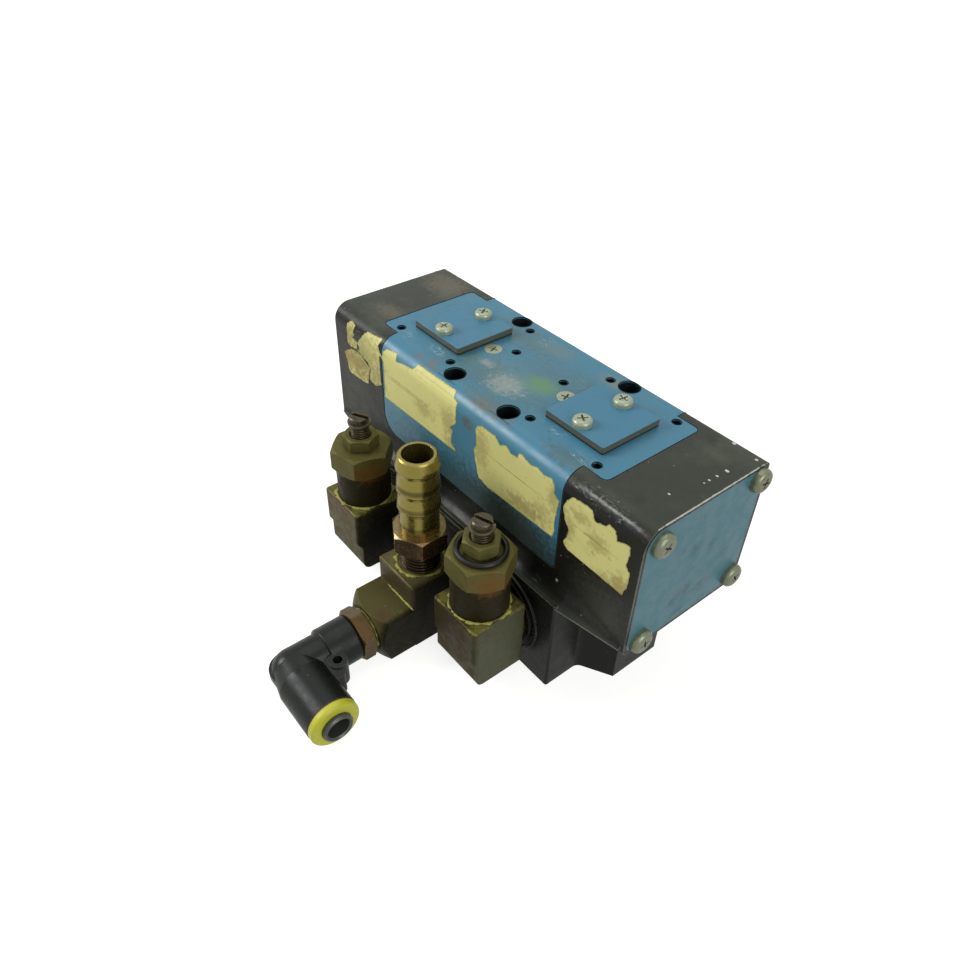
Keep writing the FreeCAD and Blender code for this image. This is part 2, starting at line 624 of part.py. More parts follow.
def top_cover():
    """Blue cover with its bolt holes, tapped holes and screw seats."""
    cover = cover_solid(0.0)
    cuts = []
    for x in (-BIG_HOLE_FRONT_X, BIG_HOLE_FRONT_X):
        cuts.append(rod(BIG_HOLE_RADIUS, Vector(x, BIG_HOLE_FRONT_Y, HEAD_TOP_Z + 1), -Z_AXIS, BIG_HOLE_DEPTH))
    for x in (-BIG_HOLE_BACK_X, BIG_HOLE_BACK_X):
        cuts.append(rod(BIG_HOLE_RADIUS, Vector(x, BIG_HOLE_BACK_Y, HEAD_TOP_Z + 1), -Z_AXIS, BIG_HOLE_DEPTH))
    for x, y in SMALL_HOLES:
        cuts.append(rod(SMALL_HOLE_RADIUS, Vector(x, y, HEAD_TOP_Z + 1), -Z_AXIS, SMALL_HOLE_DEPTH + 1))
    for x, y in TONGUE_HOLES:
        cuts.append(rod(SMALL_HOLE_RADIUS, Vector(x, y, HEAD_TOP_Z + 1), -Z_AXIS, TONGUE_HOLE_DEPTH + 1))
    for x in (-COVER_SCREW_X, COVER_SCREW_X):
        top = Vector(x, COVER_SCREW_Y, HEAD_TOP_Z)
        clear = SCREW_HOLE_CLEARANCE
        cuts.append(rod(COVER_SCREW_RADIUS + clear, top, -Z_AXIS, COVER_THICKNESS + 1))
        cuts.append(cone(COVER_SCREW_HEAD_RADIUS + clear, COVER_SCREW_RADIUS + clear, top, -Z_AXIS,
                         COVER_SCREW_HEAD_HEIGHT))
    for x, y in blank_screw_points():
        top = Vector(x, y, HEAD_TOP_Z)
        cuts.append(rod(BLANK_SCREW_RADIUS + SCREW_HOLE_CLEARANCE, top, -Z_AXIS, BLANK_SCREW_LENGTH - 2))
    return cover.cut(cuts)


def blank_screw_points():
    """Places of the four screws that hold the blanking plates."""
    return [(side * BLANK_X, BLANK_Y + end * BLANK_SCREW_SPACING / 2) for side in (-1, 1) for end in (-1, 1)]


def blanking_plate(side, thickness, bottom_z):
    """Flat plate or gasket over one pilot station, with its two screw holes."""
    x0 = side * BLANK_X - BLANK_LENGTH / 2
    y0 = BLANK_Y - BLANK_DEPTH / 2
    plate = box(x0, x0 + BLANK_LENGTH, y0, y0 + BLANK_DEPTH, bottom_z, bottom_z + thickness)
    plate = plate.makeFillet(0.8, edges_along(plate, Z_AXIS, lambda c: True))
    holes = []
    for x, y in blank_screw_points():
        if x * side > 0:
            holes.append(rod(BLANK_SCREW_RADIUS + SCREW_HOLE_CLEARANCE, Vector(x, y, bottom_z - 1), Z_AXIS, thickness + 2))
    return plate.cut(holes)


def end_plate(side, thickness, inner_x, bore_radius):
    """Plate or gasket that closes one end of the head, sunk inside its rim."""
    x0 = inner_x if side > 0 else -inner_x - thickness
    plate = head_outline(END_RIM + PLATE_FIT, x0, thickness)
    holes = []
    for y, z in PLATE_SCREWS:
        holes.append(rod(PLATE_SCREW_RADIUS + SCREW_HOLE_CLEARANCE, Vector(x0 - 1, y, z), X_AXIS, thickness + 2))
    if bore_radius:
        holes.append(rod(bore_radius, Vector(x0 - 1, 0, SPOOL_AXIS_Z), X_AXIS, thickness + 2))
    return plate.cut(holes)


def end_plate_screws(side):
    """Four pan head screws of one end plate, with their recesses at odd angles."""
    outward = Vector(side, 0, 0)
    screws = []
    turns = iter((12, 58, 33, 77))
    for y, z in PLATE_SCREWS:
        seat = Vector(side * END_X, y, z)
        screws.append(pan_screw(seat, outward, PLATE_HEAD_RADIUS, PLATE_HEAD_HEIGHT, PLATE_SCREW_RADIUS,
                                PLATE_SCREW_LENGTH, next(turns)))
    return Part.makeCompound(screws)


def spool_sleeve():
    """Ported sleeve with a groove and a ring of windows at each port and a seal groove between them."""
    start = Vector(-SLEEVE_HALF_LENGTH, 0, SPOOL_AXIS_Z)
    length = 2 * SLEEVE_HALF_LENGTH
    sleeve = rod(SLEEVE_OUTER_RADIUS, start, X_AXIS, length)
    cuts = [rod(SPOOL_RADIUS + SPOOL_CLEARANCE, start, X_AXIS, length)]
    for step in range(-2, 3):
        x = step * PORT_PITCH
        groove = tube(SLEEVE_OUTER_RADIUS + 1, SLEEVE_OUTER_RADIUS - SLEEVE_GROOVE_DEPTH,
                      Vector(x - SLEEVE_GROOVE_WIDTH / 2, 0, SPOOL_AXIS_Z), X_AXIS, SLEEVE_GROOVE_WIDTH)
        cuts.append(groove)
        for window in range(SPOOL_WINDOW_COUNT):
            angle = math.radians(360 / SPOOL_WINDOW_COUNT * (window + 0.5))
            ray = Vector(0, math.sin(angle), math.cos(angle))
            cuts.append(rod(SPOOL_WINDOW_RADIUS, Vector(x, 0, SPOOL_AXIS_Z), ray, SLEEVE_OUTER_RADIUS + 1))
    for x in SEAL_XS:
        width = SEAL_WIDTH + 2 * SEAL_SIDE_CLEARANCE
        cuts.append(tube(SLEEVE_OUTER_RADIUS + 1, SLEEVE_OUTER_RADIUS - SEAL_GROOVE_DEPTH,
                         Vector(x - width / 2, 0, SPOOL_AXIS_Z), X_AXIS, width))
    return sleeve.cut(cuts)


def sleeve_seals():
    """Six rubber rings between the sleeve and the casting."""
    rings = []
    for x in SEAL_XS:
        rings.append(tube(SLEEVE_OUTER_RADIUS, SLEEVE_OUTER_RADIUS - SEAL_GROOVE_DEPTH + 0.1,
                          Vector(x - SEAL_WIDTH / 2, 0, SPOOL_AXIS_Z), X_AXIS, SEAL_WIDTH))
    return Part.makeCompound(rings)


def sleeve_retaining_rings():
    """Two open spring rings that hold the sleeve's ends."""
    rings = []
    for side in (-1, 1):
        x0 = side * SLEEVE_HALF_LENGTH if side > 0 else -SLEEVE_HALF_LENGTH - RING_THICKNESS
        ring = tube(RING_OUTER_RADIUS, RING_INNER_RADIUS, Vector(x0, 0, SPOOL_AXIS_Z), X_AXIS, RING_THICKNESS)
        gap = box(x0 - 1, x0 + RING_THICKNESS + 1, -RING_GAP_WIDTH / 2, RING_GAP_WIDTH / 2,
                  SPOOL_AXIS_Z - RING_OUTER_RADIUS - 1, SPOOL_AXIS_Z)
        rings.append(ring.cut(gap))
    return Part.makeCompound(rings)


def piston_inner_face(side):
    """Distance from the spool's middle to a piston's inner face."""
    return PLATE_FLOOR_X - PISTON_END_GAP - SPOOL_STROKE / 2 - PISTON_THICKNESS


def spool():
    """Lapped spool with four lands, at its left-hand stop."""
    half = piston_inner_face(1)
    neck = SPOOL_NECK_RADIUS
    land = SPOOL_RADIUS
    inner = LAND_CENTRE - LAND_WIDTH / 2
    outer = LAND_CENTRE + LAND_WIDTH / 2
    steps = [
        (half, neck), (END_LAND_OUTER, neck), (END_LAND_OUTER, land), (END_LAND_INNER, land),
        (END_LAND_INNER, neck), (outer, neck), (outer, land), (inner, land), (inner, neck)]
    profile = [(-half - PISTON_SPIGOT_LENGTH, 0), (-half - PISTON_SPIGOT_LENGTH, PISTON_SPIGOT_RADIUS),
               (-half, PISTON_SPIGOT_RADIUS)]
    profile += [(-along, radius) for along, radius in steps]
    profile += [(along, radius) for along, radius in reversed(steps)]
    profile += [(half, PISTON_SPIGOT_RADIUS), (half + PISTON_SPIGOT_LENGTH, PISTON_SPIGOT_RADIUS),
                (half + PISTON_SPIGOT_LENGTH, 0)]
    return turned(profile, Vector(SPOOL_REST_X, 0, SPOOL_AXIS_Z), X_AXIS, Y_AXIS)


def piston(side):
    """Pilot piston with a groove for its seal and a blind hole for the spool's end."""
    inner_x = SPOOL_REST_X + side * piston_inner_face(side)
    start = Vector(inner_x, 0, SPOOL_AXIS_Z)
    outward = Vector(side, 0, 0)
    disc = rod(PISTON_RADIUS, start, outward, PISTON_THICKNESS)
    width = PISTON_SEAL_WIDTH + 2 * SEAL_SIDE_CLEARANCE
    groove_start = start + outward * (PISTON_THICKNESS / 2 - width / 2)
    groove = tube(PISTON_RADIUS + 1, PISTON_RADIUS - PISTON_SEAL_DEPTH, groove_start, outward, width)
    hole = rod(PISTON_SPIGOT_RADIUS + 0.05, start, outward, PISTON_SPIGOT_LENGTH + 0.1)
    return disc.cut([groove, hole])


def piston_seal(side):
    """Rubber ring in a pilot piston's groove."""
    inner_x = SPOOL_REST_X + side * piston_inner_face(side)
    outward = Vector(side, 0, 0)
    start = Vector(inner_x, 0, SPOOL_AXIS_Z) + outward * (PISTON_THICKNESS / 2 - PISTON_SEAL_WIDTH / 2)
    return tube(PISTON_RADIUS, PISTON_RADIUS - PISTON_SEAL_DEPTH + 0.1, start, outward, PISTON_SEAL_WIDTH)


def male_pipe_end(axis_x, axis_z, body_back_y):
    """Male thread from a fitting's back face into the port face."""
    shown = body_back_y - PORT_FACE_Y
    start = Vector(axis_x, body_back_y, axis_z)
    neck = rod(PIPE_MAJOR_RADIUS, start, Y_AXIS, abs(shown))
    engaged = rod(PIPE_ENGAGED_RADIUS, start, Y_AXIS, abs(shown) + PIPE_ENGAGED_LENGTH)
    return neck.fuse(engaged).removeSplitter()


def street_elbow(side):
    """Forged street elbow: male end in the exhaust port, square female end facing up."""
    x = side * EXHAUST_X
    half = ELBOW_COLLAR / 2
    front = FITTING_Y - half
    back = FITTING_Y + half
    collar = box(x - half, x + half, front, back, ELBOW_STEP_Z, ELBOW_TOP_Z)
    body = box(x - half, x + half, front + ELBOW_FRONT_STEP, back, ELBOW_BOTTOM_Z, ELBOW_STEP_Z)
    heel = edges_along(body, X_AXIS, lambda c: c.y < FITTING_Y and c.z < ELBOW_BOTTOM_Z + 0.1)
    body = body.makeFillet(ELBOW_HEEL_RADIUS, heel)
    ramp_points = [Vector(x - half, front, ELBOW_STEP_Z), Vector(x - half, front + ELBOW_FRONT_STEP, ELBOW_STEP_Z),
                   Vector(x - half, front + ELBOW_FRONT_STEP, ELBOW_STEP_Z - ELBOW_STEP_HEIGHT)]
    ramp = Part.Face(Part.makePolygon(ramp_points + [ramp_points[0]])).extrude(Vector(ELBOW_COLLAR, 0, 0))
    forging = collar.fuse([body, ramp]).removeSplitter()
    uprights = edges_along(forging, Z_AXIS, lambda c: c.z > ELBOW_STEP_Z - ELBOW_STEP_HEIGHT)
    forging = forging.makeFillet(ELBOW_EDGE, uprights)
    rims = [edge for edge in forging.Edges if edge.CenterOfMass.z > ELBOW_TOP_Z - 0.01]
    forging = forging.makeFillet(ELBOW_TOP_ROUND, rims)
    male = male_pipe_end(x, EXHAUST_Z, back - 1)
    elbow = forging.fuse(male).removeSplitter()
    socket = rod(PORT_RADIUS, Vector(x, FITTING_Y, ELBOW_TOP_Z), -Z_AXIS, PIPE_ENGAGED_LENGTH + 1)
    down = rod(PIPE_BORE_RADIUS, Vector(x, FITTING_Y, ELBOW_TOP_Z), -Z_AXIS, ELBOW_TOP_Z - EXHAUST_Z)
    along = rod(PIPE_BORE_RADIUS, Vector(x, FITTING_Y, EXHAUST_Z), Y_AXIS, 60)
    knee = Part.makeSphere(PIPE_BORE_RADIUS, Vector(x, FITTING_Y, EXHAUST_Z))
    return elbow.cut([socket, down, along, knee])


def poppet_top(side):
    """Height of a metering poppet's top face, where its screw's shoulder rests."""
    return ADJUSTER_TIP_Z[side] - ADJUSTER_LENGTH


def control_body(side):
    """Flow control body: pipe thread, big hexagon and the metering chamber."""
    x = side * EXHAUST_X
    hex_bottom = CONTROL_HEX_Z[side]
    hex_top = hex_bottom + BIG_HEX_HEIGHT
    seat = Vector(x, FITTING_Y, ELBOW_TOP_Z)
    engaged = rod(PIPE_ENGAGED_RADIUS, seat, -Z_AXIS, PIPE_ENGAGED_LENGTH)
    neck = rod(CONTROL_NECK_RADIUS, seat, Z_AXIS, hex_bottom - ELBOW_TOP_Z)
    head = nut_body(BIG_HEX_FLATS, Vector(x, FITTING_Y, hex_bottom), Z_AXIS, BIG_HEX_HEIGHT,
                    BIG_HEX_CHAMFER, CONTROL_HEX_TURN[side])
    body = engaged.fuse([neck, head]).removeSplitter()
    chamber_top = poppet_top(side) + METER_LIFT_ROOM
    chamber_bottom = ELBOW_TOP_Z - PIPE_ENGAGED_LENGTH
    chamber = rod(METER_CHAMBER_RADIUS, Vector(x, FITTING_Y, chamber_bottom), Z_AXIS, chamber_top - chamber_bottom)
    stem_hole = rod(ADJUSTER_RADIUS + ADJUSTER_CLEARANCE, Vector(x, FITTING_Y, chamber_top), Z_AXIS,
                    hex_top - chamber_top)
    gland_hole = rod(GLAND_THREAD_RADIUS + GLAND_FIT, Vector(x, FITTING_Y, hex_top), -Z_AXIS,
                     GLAND_THREAD_LENGTH + STEM_SEAL_SECTION)
    return body.cut([chamber, stem_hole, gland_hole])


def gland_nut(side):
    """Small hexagon nut screwed into the flow control's top, bored for the adjusting screw."""
    hex_top = CONTROL_HEX_Z[side] + BIG_HEX_HEIGHT
    seat = Vector(side * EXHAUST_X, FITTING_Y, hex_top + GLAND_STAND_OFF[side])
    head = nut_body(GLAND_HEX_FLATS, seat, Z_AXIS, GLAND_HEX_HEIGHT, 0.9, GLAND_HEX_TURN[side])
    thread = rod(GLAND_THREAD_RADIUS, seat, -Z_AXIS, GLAND_THREAD_LENGTH)
    bore = rod(ADJUSTER_RADIUS + ADJUSTER_CLEARANCE, seat - Z_AXIS * GLAND_THREAD_LENGTH, Z_AXIS,
               GLAND_THREAD_LENGTH + GLAND_HEX_HEIGHT)
    mouth = cone(ADJUSTER_RADIUS + ADJUSTER_CLEARANCE, ADJUSTER_RADIUS + 0.9,
                 seat + Z_AXIS * (GLAND_HEX_HEIGHT - 0.8), Z_AXIS, 0.8)
    return head.fuse(thread).removeSplitter().cut([bore, mouth])


def stem_seal(side):
    """Rubber ring under the gland nut."""
    z = CONTROL_HEX_Z[side] + BIG_HEX_HEIGHT - GLAND_THREAD_LENGTH - STEM_SEAL_SECTION
    return tube(STEM_SEAL_OUTER, ADJUSTER_RADIUS + ADJUSTER_CLEARANCE, Vector(side * EXHAUST_X, FITTING_Y, z),
                Z_AXIS, STEM_SEAL_SECTION)


def adjusting_screw(side):
    """Threaded screw with a slotted head, a neck for its snap ring and a spigot at its foot."""
    x = side * EXHAUST_X
    tip_z = ADJUSTER_TIP_Z[side]
    foot_z = poppet_top(side)
    head_z = tip_z - ADJUSTER_HEAD_HEIGHT
    neck_z = head_z - ADJUSTER_NECK_HEIGHT
    profile = [
        (foot_z - ADJUSTER_SPIGOT_LENGTH, 0), (foot_z - ADJUSTER_SPIGOT_LENGTH, ADJUSTER_SPIGOT_RADIUS),
        (foot_z, ADJUSTER_SPIGOT_RADIUS), (foot_z, ADJUSTER_RADIUS), (neck_z, ADJUSTER_RADIUS),
        (neck_z, ADJUSTER_NECK_RADIUS), (head_z, ADJUSTER_NECK_RADIUS),
        (head_z, ADJUSTER_HEAD_RADIUS), (tip_z - 0.4, ADJUSTER_HEAD_RADIUS),
        (tip_z, ADJUSTER_HEAD_RADIUS - 0.4), (tip_z, 0)]
    screw = turned(profile, Vector(x, FITTING_Y, 0), Z_AXIS, X_AXIS)
    slot = box(-8, 8, -ADJUSTER_SLOT_WIDTH / 2, ADJUSTER_SLOT_WIDTH / 2, 0, ADJUSTER_SLOT_DEPTH + 1)
    slot.rotate(ORIGIN, Z_AXIS, ADJUSTER_SLOT_TURN[side])
    slot.translate(Vector(x, FITTING_Y, tip_z - ADJUSTER_SLOT_DEPTH))
    return screw.cut(slot)


def snap_ring(side):
    """Open ring in the adjusting screw's neck, which stops it running right in."""
    z = ADJUSTER_TIP_Z[side] - ADJUSTER_HEAD_HEIGHT - ADJUSTER_NECK_HEIGHT / 2 - SNAP_RING_THICKNESS / 2
    centre = Vector(side * EXHAUST_X, FITTING_Y, z)
    ring = tube(SNAP_RING_RADIUS, ADJUSTER_NECK_RADIUS + 0.05, centre, Z_AXIS, SNAP_RING_THICKNESS)
    gap = box(0, 8, -SNAP_RING_GAP / 2, SNAP_RING_GAP / 2, -1, 2)
    gap.rotate(ORIGIN, Z_AXIS, SNAP_RING_TURN[side])
    gap.translate(centre)
    return ring.cut(gap)


def metering_poppet(side):
    """Poppet that the adjusting screw raises and lowers without turning it."""
    top = poppet_top(side)
    bottom = top - METER_HEIGHT
    hole = ADJUSTER_SPIGOT_RADIUS + 0.06
    floor = top - ADJUSTER_SPIGOT_LENGTH - 0.1
    profile = [(bottom, 0), (bottom, METER_RADIUS - 3.2), (bottom + 3.2, METER_RADIUS), (top, METER_RADIUS),
               (top, hole), (floor, hole), (floor, 0)]
    return turned(profile, Vector(side * EXHAUST_X, FITTING_Y, 0), Z_AXIS, X_AXIS)


def street_tee():
    """Forged street tee: male end in the inlet, one female end up and one to the front."""
    x = INLET_X
    half = TEE_WIDTH / 2
    upright = box(x - half, x + half, TEE_Y - half, TEE_Y + half, TEE_BOTTOM_Z, TEE_TOP_Z)
    upright = upright.makeFillet(TEE_EDGE, edges_along(upright, Z_AXIS, lambda c: True))
    rims = [edge for edge in upright.Edges if edge.CenterOfMass.z > TEE_TOP_Z - 0.01]
    upright = upright.makeFillet(TEE_TOP_ROUND, rims)
    arm = box(x - half, x + half, TEE_ARM_END_Y, TEE_Y, TEE_BOTTOM_Z, TEE_ARM_TOP_Z)
    long_edges = edges_along(arm, Y_AXIS, lambda c: True)
    arm = arm.makeFillet(TEE_EDGE, long_edges)
    cone_foot = Vector(x, TEE_ARM_END_Y, TEE_ARM_AXIS_Z)
    nose = cone(TEE_CONE_RADIUS, TEE_CONE_REACH, cone_foot, Y_AXIS, TEE_CONE_LENGTH)
    nose = nose.fuse(rod(TEE_CONE_REACH, cone_foot + Y_AXIS * TEE_CONE_LENGTH, Y_AXIS, 60))
    arm = arm.common(nose)
    male = male_pipe_end(x, INLET_Z, TEE_Y + half - 1)
    tee = upright.fuse([arm, male]).removeSplitter()
    top_socket = rod(BARB_THREAD_RADIUS + 0.05, Vector(x, TEE_Y, TEE_TOP_Z), -Z_AXIS, PIPE_ENGAGED_LENGTH)
    down = rod(PIPE_BORE_RADIUS, Vector(x, TEE_Y, TEE_TOP_Z), -Z_AXIS, TEE_TOP_Z - TEE_ARM_AXIS_Z)
    front_socket = rod(STEM_THREAD_RADIUS, cone_foot, Y_AXIS, STEM_ENGAGED + 1)
    through = rod(PIPE_BORE_RADIUS, cone_foot, Y_AXIS, TEE_Y - TEE_ARM_END_Y)
    back = rod(PIPE_BORE_RADIUS, Vector(x, TEE_Y, INLET_Z), Y_AXIS, 60)
    return tee.cut([top_socket, down, front_socket, through, back])


def hose_barb():
    """Turned hose barb with its hexagon, the threads that show and three barbs."""
    x = INLET_X
    thread_top = TEE_TOP_Z + BARB_THREAD_SHOWN
    hex_top = thread_top + BARB_HEX_HEIGHT
    start = Vector(x, TEE_Y, TEE_TOP_Z - BARB_ENGAGED)
    thread = rod(BARB_THREAD_RADIUS, start, Z_AXIS, BARB_ENGAGED + BARB_THREAD_SHOWN)
    hexagon_body = nut_body(BARB_HEX_FLATS, Vector(x, TEE_Y, thread_top), Z_AXIS, BARB_HEX_HEIGHT, 1.0, BARB_HEX_TURN)
    profile = [(hex_top, 0), (hex_top, BARB_NECK_RADIUS)]
    for crest in BARB_CRESTS_Z:
        profile.append((crest - 2.2, BARB_NECK_RADIUS - 0.05))
        profile.append((crest - 0.9, BARB_NECK_RADIUS + 0.2))
        profile.append((crest, BARB_CREST_RADIUS))
        profile.append((crest + 1.2, BARB_CREST_RADIUS - 0.1))
    profile += [(BARB_TIP_Z - 0.6, BARB_TIP_RADIUS + 0.15), (BARB_TIP_Z, BARB_TIP_RADIUS - 0.4), (BARB_TIP_Z, 0)]
    stem = turned(profile, Vector(x, TEE_Y, 0), Z_AXIS, X_AXIS)
    barb = thread.fuse([hexagon_body, stem]).removeSplitter()
    bore_bottom_z = TEE_TOP_Z - BARB_ENGAGED - 1
    bore = rod(BARB_BORE_RADIUS, Vector(x, TEE_Y, bore_bottom_z), Z_AXIS, BARB_TIP_Z + 1 - bore_bottom_z)
    return barb.cut(bore)


def push_stem():
    """Brass stem of the push-in elbow: thread, hexagon and the spigot that the elbow turns on."""
    x = INLET_X
    z = TEE_ARM_AXIS_Z
    outward = -Y_AXIS
    face = Vector(x, TEE_ARM_END_Y, z)
    engaged = rod(STEM_THREAD_RADIUS - 0.05, face, Y_AXIS, STEM_ENGAGED)
    shown = rod(STEM_THREAD_RADIUS + 0.5, face, outward, STEM_THREAD_SHOWN)
    hex_start = face + outward * STEM_THREAD_SHOWN
    head = nut_body(STEM_HEX_FLATS, hex_start, outward, STEM_HEX_LENGTH, 0.9, 26)
    spigot_start = hex_start + outward * STEM_HEX_LENGTH
    spigot = rod(STEM_SPIGOT_RADIUS, spigot_start, outward, STEM_SPIGOT_LENGTH)
    stem = engaged.fuse([shown, head, spigot]).removeSplitter()
    seal_width = SWIVEL_SEAL_SECTION + 0.4
    groove = tube(STEM_SPIGOT_RADIUS + 1, STEM_SPIGOT_RADIUS - SWIVEL_SEAL_SECTION,
                  spigot_start + outward * 8, outward, seal_width)
    bore = rod(STEM_BORE_RADIUS, face + Y_AXIS * (STEM_ENGAGED + 1), outward, 60)
    return stem.cut([groove, bore])


def swivel_start_y():
    """Y of the hexagon's front face, where the elbow's housing starts."""
    return TEE_ARM_END_Y - STEM_THREAD_SHOWN - STEM_HEX_LENGTH


def swivel_seal():
    """Rubber ring in the groove of the elbow's stem."""
    start = Vector(INLET_X, swivel_start_y() - 8.2, TEE_ARM_AXIS_Z)
    return tube(STEM_SPIGOT_RADIUS, STEM_SPIGOT_RADIUS - SWIVEL_SEAL_SECTION + 0.1, start, -Y_AXIS,
                SWIVEL_SEAL_SECTION)


def push_elbow():
    """Moulded elbow housing with its corner fin, the eye at its inner corner and its bores."""
    x = INLET_X
    z = TEE_ARM_AXIS_Z
    start_y = swivel_start_y() - SWIVEL_FACE_GAP
    corner = Vector(x, PUSH_OUTLET_Y, z)
    sleeve = rod(PUSH_SLEEVE_RADIUS, Vector(x, start_y, z), -Y_AXIS, start_y - PUSH_SLEEVE_END_Y)
    ends = [edge for edge in sleeve.Edges if not isinstance(edge.Curve, Part.Line)]
    sleeve = sleeve.makeFillet(1.0, ends)
    leg = rod(PUSH_BEND_RADIUS, Vector(x, start_y - 4, z), -Y_AXIS, start_y - 4 - PUSH_OUTLET_Y)
    knee = Part.makeSphere(PUSH_BEND_RADIUS, corner)
    widen = cone(PUSH_BEND_RADIUS, PUSH_OUTLET_RADIUS, corner, X_AXIS, PUSH_WIDEN_LENGTH)
    outlet_start = corner + X_AXIS * PUSH_WIDEN_LENGTH
    outlet = rod(PUSH_OUTLET_RADIUS, outlet_start, X_AXIS, PUSH_OUTLET_END_X - outlet_start.x)
    half_fin = PUSH_FIN_THICKNESS / 2
    fin = box(x - PUSH_FIN_REACH, outlet_start.x, PUSH_OUTLET_Y - PUSH_FIN_REACH, PUSH_SLEEVE_END_Y + 1,
              z - half_fin, z + half_fin)
    outer_edge = edges_along(fin, Z_AXIS, lambda c: c.x < x and c.y < PUSH_OUTLET_Y)
    fin = fin.makeFillet(PUSH_FIN_CORNER, outer_edge)
    ear = rod(PUSH_EAR_RADIUS, Vector(PUSH_EAR_X, PUSH_EAR_Y, z - PUSH_EAR_HALF_HEIGHT), Z_AXIS,
              2 * PUSH_EAR_HALF_HEIGHT)
    web = box(x, PUSH_WEB_END_X, PUSH_OUTLET_Y, PUSH_WEB_BACK_Y, z - PUSH_WEB_HALF_HEIGHT, z + PUSH_WEB_HALF_HEIGHT)
    web_corner = edges_along(web, Z_AXIS, lambda c: c.x > PUSH_WEB_END_X - 0.1 and c.y > PUSH_WEB_BACK_Y - 0.1)
    web = web.makeFillet(2.0, web_corner)
    housing = sleeve.fuse([leg, knee, widen, outlet, fin, ear, web]).removeSplitter()
    spigot_bore = rod(STEM_SPIGOT_RADIUS + STEM_SPIGOT_CLEARANCE, Vector(x, start_y + 1, z), -Y_AXIS,
                      STEM_SPIGOT_LENGTH + 1)
    along = rod(PUSH_BODY_BORE_RADIUS, Vector(x, start_y, z), -Y_AXIS, start_y - PUSH_OUTLET_Y)
    turn_in = Part.makeSphere(PUSH_BODY_BORE_RADIUS, corner)
    out = rod(PUSH_BODY_BORE_RADIUS, corner, X_AXIS, 60)
    tube_bore = rod(TUBE_BORE_RADIUS, Vector(PUSH_OUTLET_END_X - 22, PUSH_OUTLET_Y, z), X_AXIS, 30)
    collet_bore = rod(COLLET_BORE_RADIUS, Vector(PUSH_OUTLET_END_X - COLLET_BORE_DEPTH, PUSH_OUTLET_Y, z), X_AXIS, 30)
    eye = rod(PUSH_EAR_HOLE_RADIUS, Vector(PUSH_EAR_X, PUSH_EAR_Y, z - 20), Z_AXIS, 40)
    return housing.cut([spigot_bore, along, turn_in, out, tube_bore, collet_bore, eye])


def tube_seal():
    """Rubber ring that grips the tube, at the bottom of the collet's bore."""
    start = Vector(PUSH_OUTLET_END_X - COLLET_BORE_DEPTH, PUSH_OUTLET_Y, TEE_ARM_AXIS_Z)
    return tube(COLLET_BORE_RADIUS - 0.05, TUBE_BORE_RADIUS, start, X_AXIS, TUBE_SEAL_SECTION)


def copper_ring():
    """Thin copper washer between the housing and the collar."""
    start = Vector(PUSH_OUTLET_END_X, PUSH_OUTLET_Y, TEE_ARM_AXIS_Z)
    return tube(COPPER_RING_RADIUS, COLLET_BORE_RADIUS, start, X_AXIS, COPPER_RING_THICKNESS)


def collar_ring():
    """Bright ring that closes the outlet and guides the release sleeve."""
    start = Vector(PUSH_OUTLET_END_X + COPPER_RING_THICKNESS, PUSH_OUTLET_Y, TEE_ARM_AXIS_Z)
    ring = rod(COLLAR_RADIUS, start, X_AXIS, COLLAR_THICKNESS)
    end_x = start.x + COLLAR_THICKNESS
    ring = ring.makeFillet(COLLAR_ROUND, [edge for edge in ring.Edges if abs(edge.CenterOfMass.x - end_x) < 0.01])
    return ring.cut(rod(COLLET_BORE_RADIUS, start, X_AXIS, COLLAR_THICKNESS))


def release_sleeve():
    """Sleeve that is pressed in to let the tube go."""
    face_x = PUSH_OUTLET_END_X + COPPER_RING_THICKNESS + COLLAR_THICKNESS
    outer_x = face_x + COLLET_PROUD
    start_x = outer_x - COLLET_LENGTH
    outer = COLLET_BORE_RADIUS - COLLET_CLEARANCE
    profile = [
        (start_x, TUBE_BORE_RADIUS), (start_x, outer - 0.6), (start_x + 2, outer), (outer_x - 0.8, outer),
        (outer_x, outer - 0.8), (outer_x, TUBE_BORE_RADIUS + 0.8), (outer_x - 0.8, TUBE_BORE_RADIUS)]
    return turned(profile, Vector(0, PUSH_OUTLET_Y, TEE_ARM_AXIS_Z), X_AXIS, Y_AXIS)


def loose_ring():
    """Rubber ring that lies on the right-hand flow control's big hexagon."""
    z = CONTROL_HEX_Z[1] + BIG_HEX_HEIGHT + LOOSE_RING_SECTION
    return torus(LOOSE_RING_RADIUS, LOOSE_RING_SECTION, Vector(EXHAUST_X, FITTING_Y, z), Z_AXIS)


